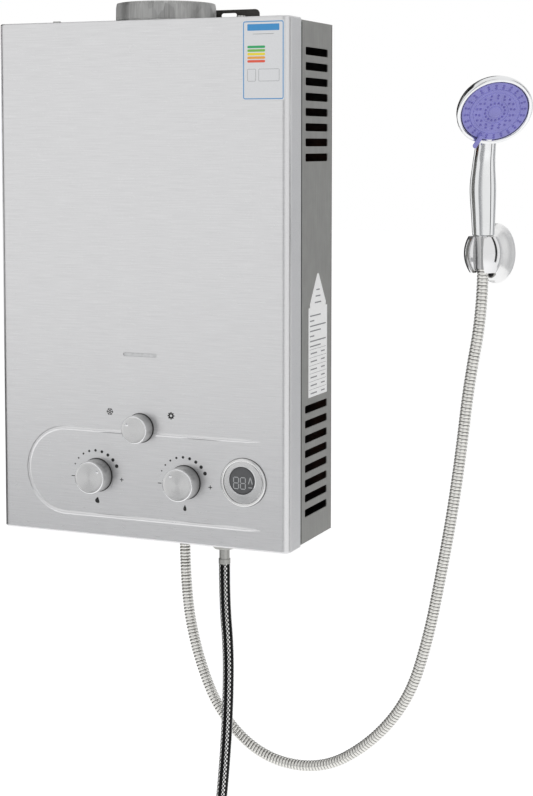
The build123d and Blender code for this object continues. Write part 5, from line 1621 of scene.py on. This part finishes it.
grub_outline = [
    (SCREW_CAP_R, -BOSS_SINK),
    (SCREW_R, -BOSS_SINK),
    (SCREW_R, screw_top),
    (SOCKET_R, screw_top),
    (SOCKET_FLOOR_R, socket_floor),
    (SCREW_CAP_R, socket_floor),
]
turned("holder_grub_screw", grub_outline, boss_place, black_plastic, "heater", sides=BOSS_SIDES)


# Studio: a pale floor, soft lamps, and dark and pale cards that show only in reflections

FLOOR_Z = -1.30
FLOOR_SIZE = 40
FLOOR_GLOW = 0.42
SKY_LIGHT = 0.62
WHITE = (1, 1, 1, 1)
LOOK_AT = (0.12, -0.06, -0.42)
DARK = srgb(18, 18, 20)
PALE = srgb(196, 197, 199)
LIGHT = srgb(216, 217, 219)
SHEET_CORNERS = ((0, 0), (1, 0), (1, 1), (0, 1))


def when_seen(wiring, socket, unseen, strength):
    """Give the camera, mirrors and glass one strength, and the light on the object another."""
    rays = wiring.add("ShaderNodeLightPath").outputs
    seen = rays["Is Camera Ray"]
    for name in ("Is Glossy Ray", "Is Transmission Ray"):
        seen = wiring.math("MAXIMUM", seen, rays[name])
    wiring.join(wiring.between(seen, unseen, strength, 0.0, 1.0), socket)


def sheet(name, place, width, height, material):
    """A flat sheet about a place, mapped from corner to corner."""
    corners = [place @ Vector(((x - 0.5) * width, (y - 0.5) * height, 0)) for x, y in SHEET_CORNERS]
    mesh = bpy.data.meshes.new(name)
    mesh.from_pydata(corners, [], [(0, 1, 2, 3)])
    layer = mesh.uv_layers.new(name="sheet")
    for corner, spot in zip(layer.data, SHEET_CORNERS):
        corner.uv = spot
    mesh.materials.append(material)
    return put(name, mesh)


world = bpy.data.worlds.new("studio")
bpy.context.scene.world = world
world.use_nodes = True
sky = world.node_tree.nodes["Background"]
sky.inputs["Color"].default_value = WHITE
when_seen(Wiring(world.node_tree), sky.inputs["Strength"], SKY_LIGHT, 1.0)

floor_finish = Finish("floor", srgb(246, 246, 246), 0.9)
floor_finish.feed("Emission Color", WHITE)
when_seen(floor_finish, floor_finish.shader.inputs["Emission Strength"], 0.0, FLOOR_GLOW)
floor_place = Matrix.Translation((0, 0, FLOOR_Z))
floor = sheet("floor", floor_place, FLOOR_SIZE, FLOOR_SIZE, floor_finish.material)
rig.stage(floor)


def lamp(name, place, size, power):
    """A soft square lamp that looks at the object."""
    data = bpy.data.lights.new(name, "AREA")
    data.shape = "SQUARE"
    data.size = size
    data.energy = power
    light = put(name, data)
    light.location = place
    light.rotation_euler = (Vector(LOOK_AT) - Vector(place)).to_track_quat("-Z", "Y").to_euler()
    light.visible_glossy = False


lamp("key_lamp", (-1.2, -1.7, 1.1), 1.1, 16)
lamp("fill_lamp", (1.9, -1.3, 0.5), 1.2, 7)
lamp("top_lamp", (0.1, -0.5, 1.7), 1.0, 7)


def card_material(name, colour, fade):
    """A plain matt card that fades out towards its edges."""
    finish = Finish(name, colour, 0.8, 0.0, "UV")
    clear = finish.add("ShaderNodeBsdfTransparent").outputs["BSDF"]
    edges = []
    for axis in ("X", "Y"):
        off_middle = finish.off_middle(finish.part(axis))
        edges.append(finish.between(off_middle, 1.0, 0.0, 0.5 - fade, 0.5))
    inputs = {"Fac": finish.math("MULTIPLY", *edges), 1: clear, 2: finish.shader.outputs["BSDF"]}
    blend = finish.add("ShaderNodeMixShader", inputs)
    finish.join(blend.outputs["Shader"], finish.tree.nodes["Material Output"].inputs["Surface"])
    return finish.material


def card(name, azimuth, elevation, distance, width, height, colour, fade=0.3):
    """A soft-edged card that faces the object and shows only in reflections."""
    turn = radians(azimuth)
    rise = radians(elevation)
    level = cos(rise)
    away = Vector((sin(turn) * level, -cos(turn) * level, sin(rise)))
    place = axis_frame(Vector(LOOK_AT) + away * distance, away, UP.cross(away))
    panel = sheet(name, place, width, height, card_material(name, colour, fade))
    panel.visible_camera = False
    panel.visible_diffuse = False
    panel.visible_shadow = False
    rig.stage(panel)


card("left_back_card", -158, 0, 2.2, 1.2, 7.0, DARK, 0.2)
card("left_edge_card", -134, 0, 2.2, 1.2, 7.0, DARK, 0.15)
card("left_card", -80, 0, 2.0, 0.9, 6.0, DARK, 0.15)
card("low_left_card", -105, -12, 2.1, 1.1, 0.8, DARK, 0.1)
card("high_left_card", -105, 40, 2.1, 1.1, 1.3, DARK, 0.1)
card("front_card", 8, 0, 2.0, 1.0, 6.0, PALE)
card("outer_card", 100, 0, 2.6, 0.8, 6.0, DARK, 0.12)
card("right_back_card", 137, 0, 2.3, 0.5, 6.0, PALE, 0.2)
card("side_card", 156, 0, 2.4, 1.4, 5.0, LIGHT, 0.4)
card("top_card", 10, 62, 2.2, 2.4, 0.5, DARK)
card("low_card", -27, -30, 2.0, 3.6, 1.5, PALE, 0.12)
card("under_card", -27, -66, 1.6, 3.0, 0.9, DARK)


# Camera

CAMERA_PLACE = (0.7975, -1.6589, -0.1363)
CAMERA_YAW = 23.107
CAMERA_PITCH = -4.509
CAMERA_LENS = 76.9
CAMERA_SENSOR = 36
CAMERA_SHIFT = -0.15

camera_data = bpy.data.cameras.new("camera")
camera_data.lens = CAMERA_LENS
camera_data.sensor_width = CAMERA_SENSOR
camera_data.shift_y = CAMERA_SHIFT
camera = put("camera", camera_data)
camera.location = CAMERA_PLACE
camera.rotation_euler = (radians(90 + CAMERA_PITCH), 0, radians(CAMERA_YAW))
bpy.context.scene.camera = camera
bpy.context.scene.view_settings.view_transform = "Standard"

bounds_at_end = [list(corner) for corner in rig.bounds()]
with open("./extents.json", "w") as size_file:
    json.dump({"cad": bounds_at_start, "dressed": bounds_at_end}, size_file)
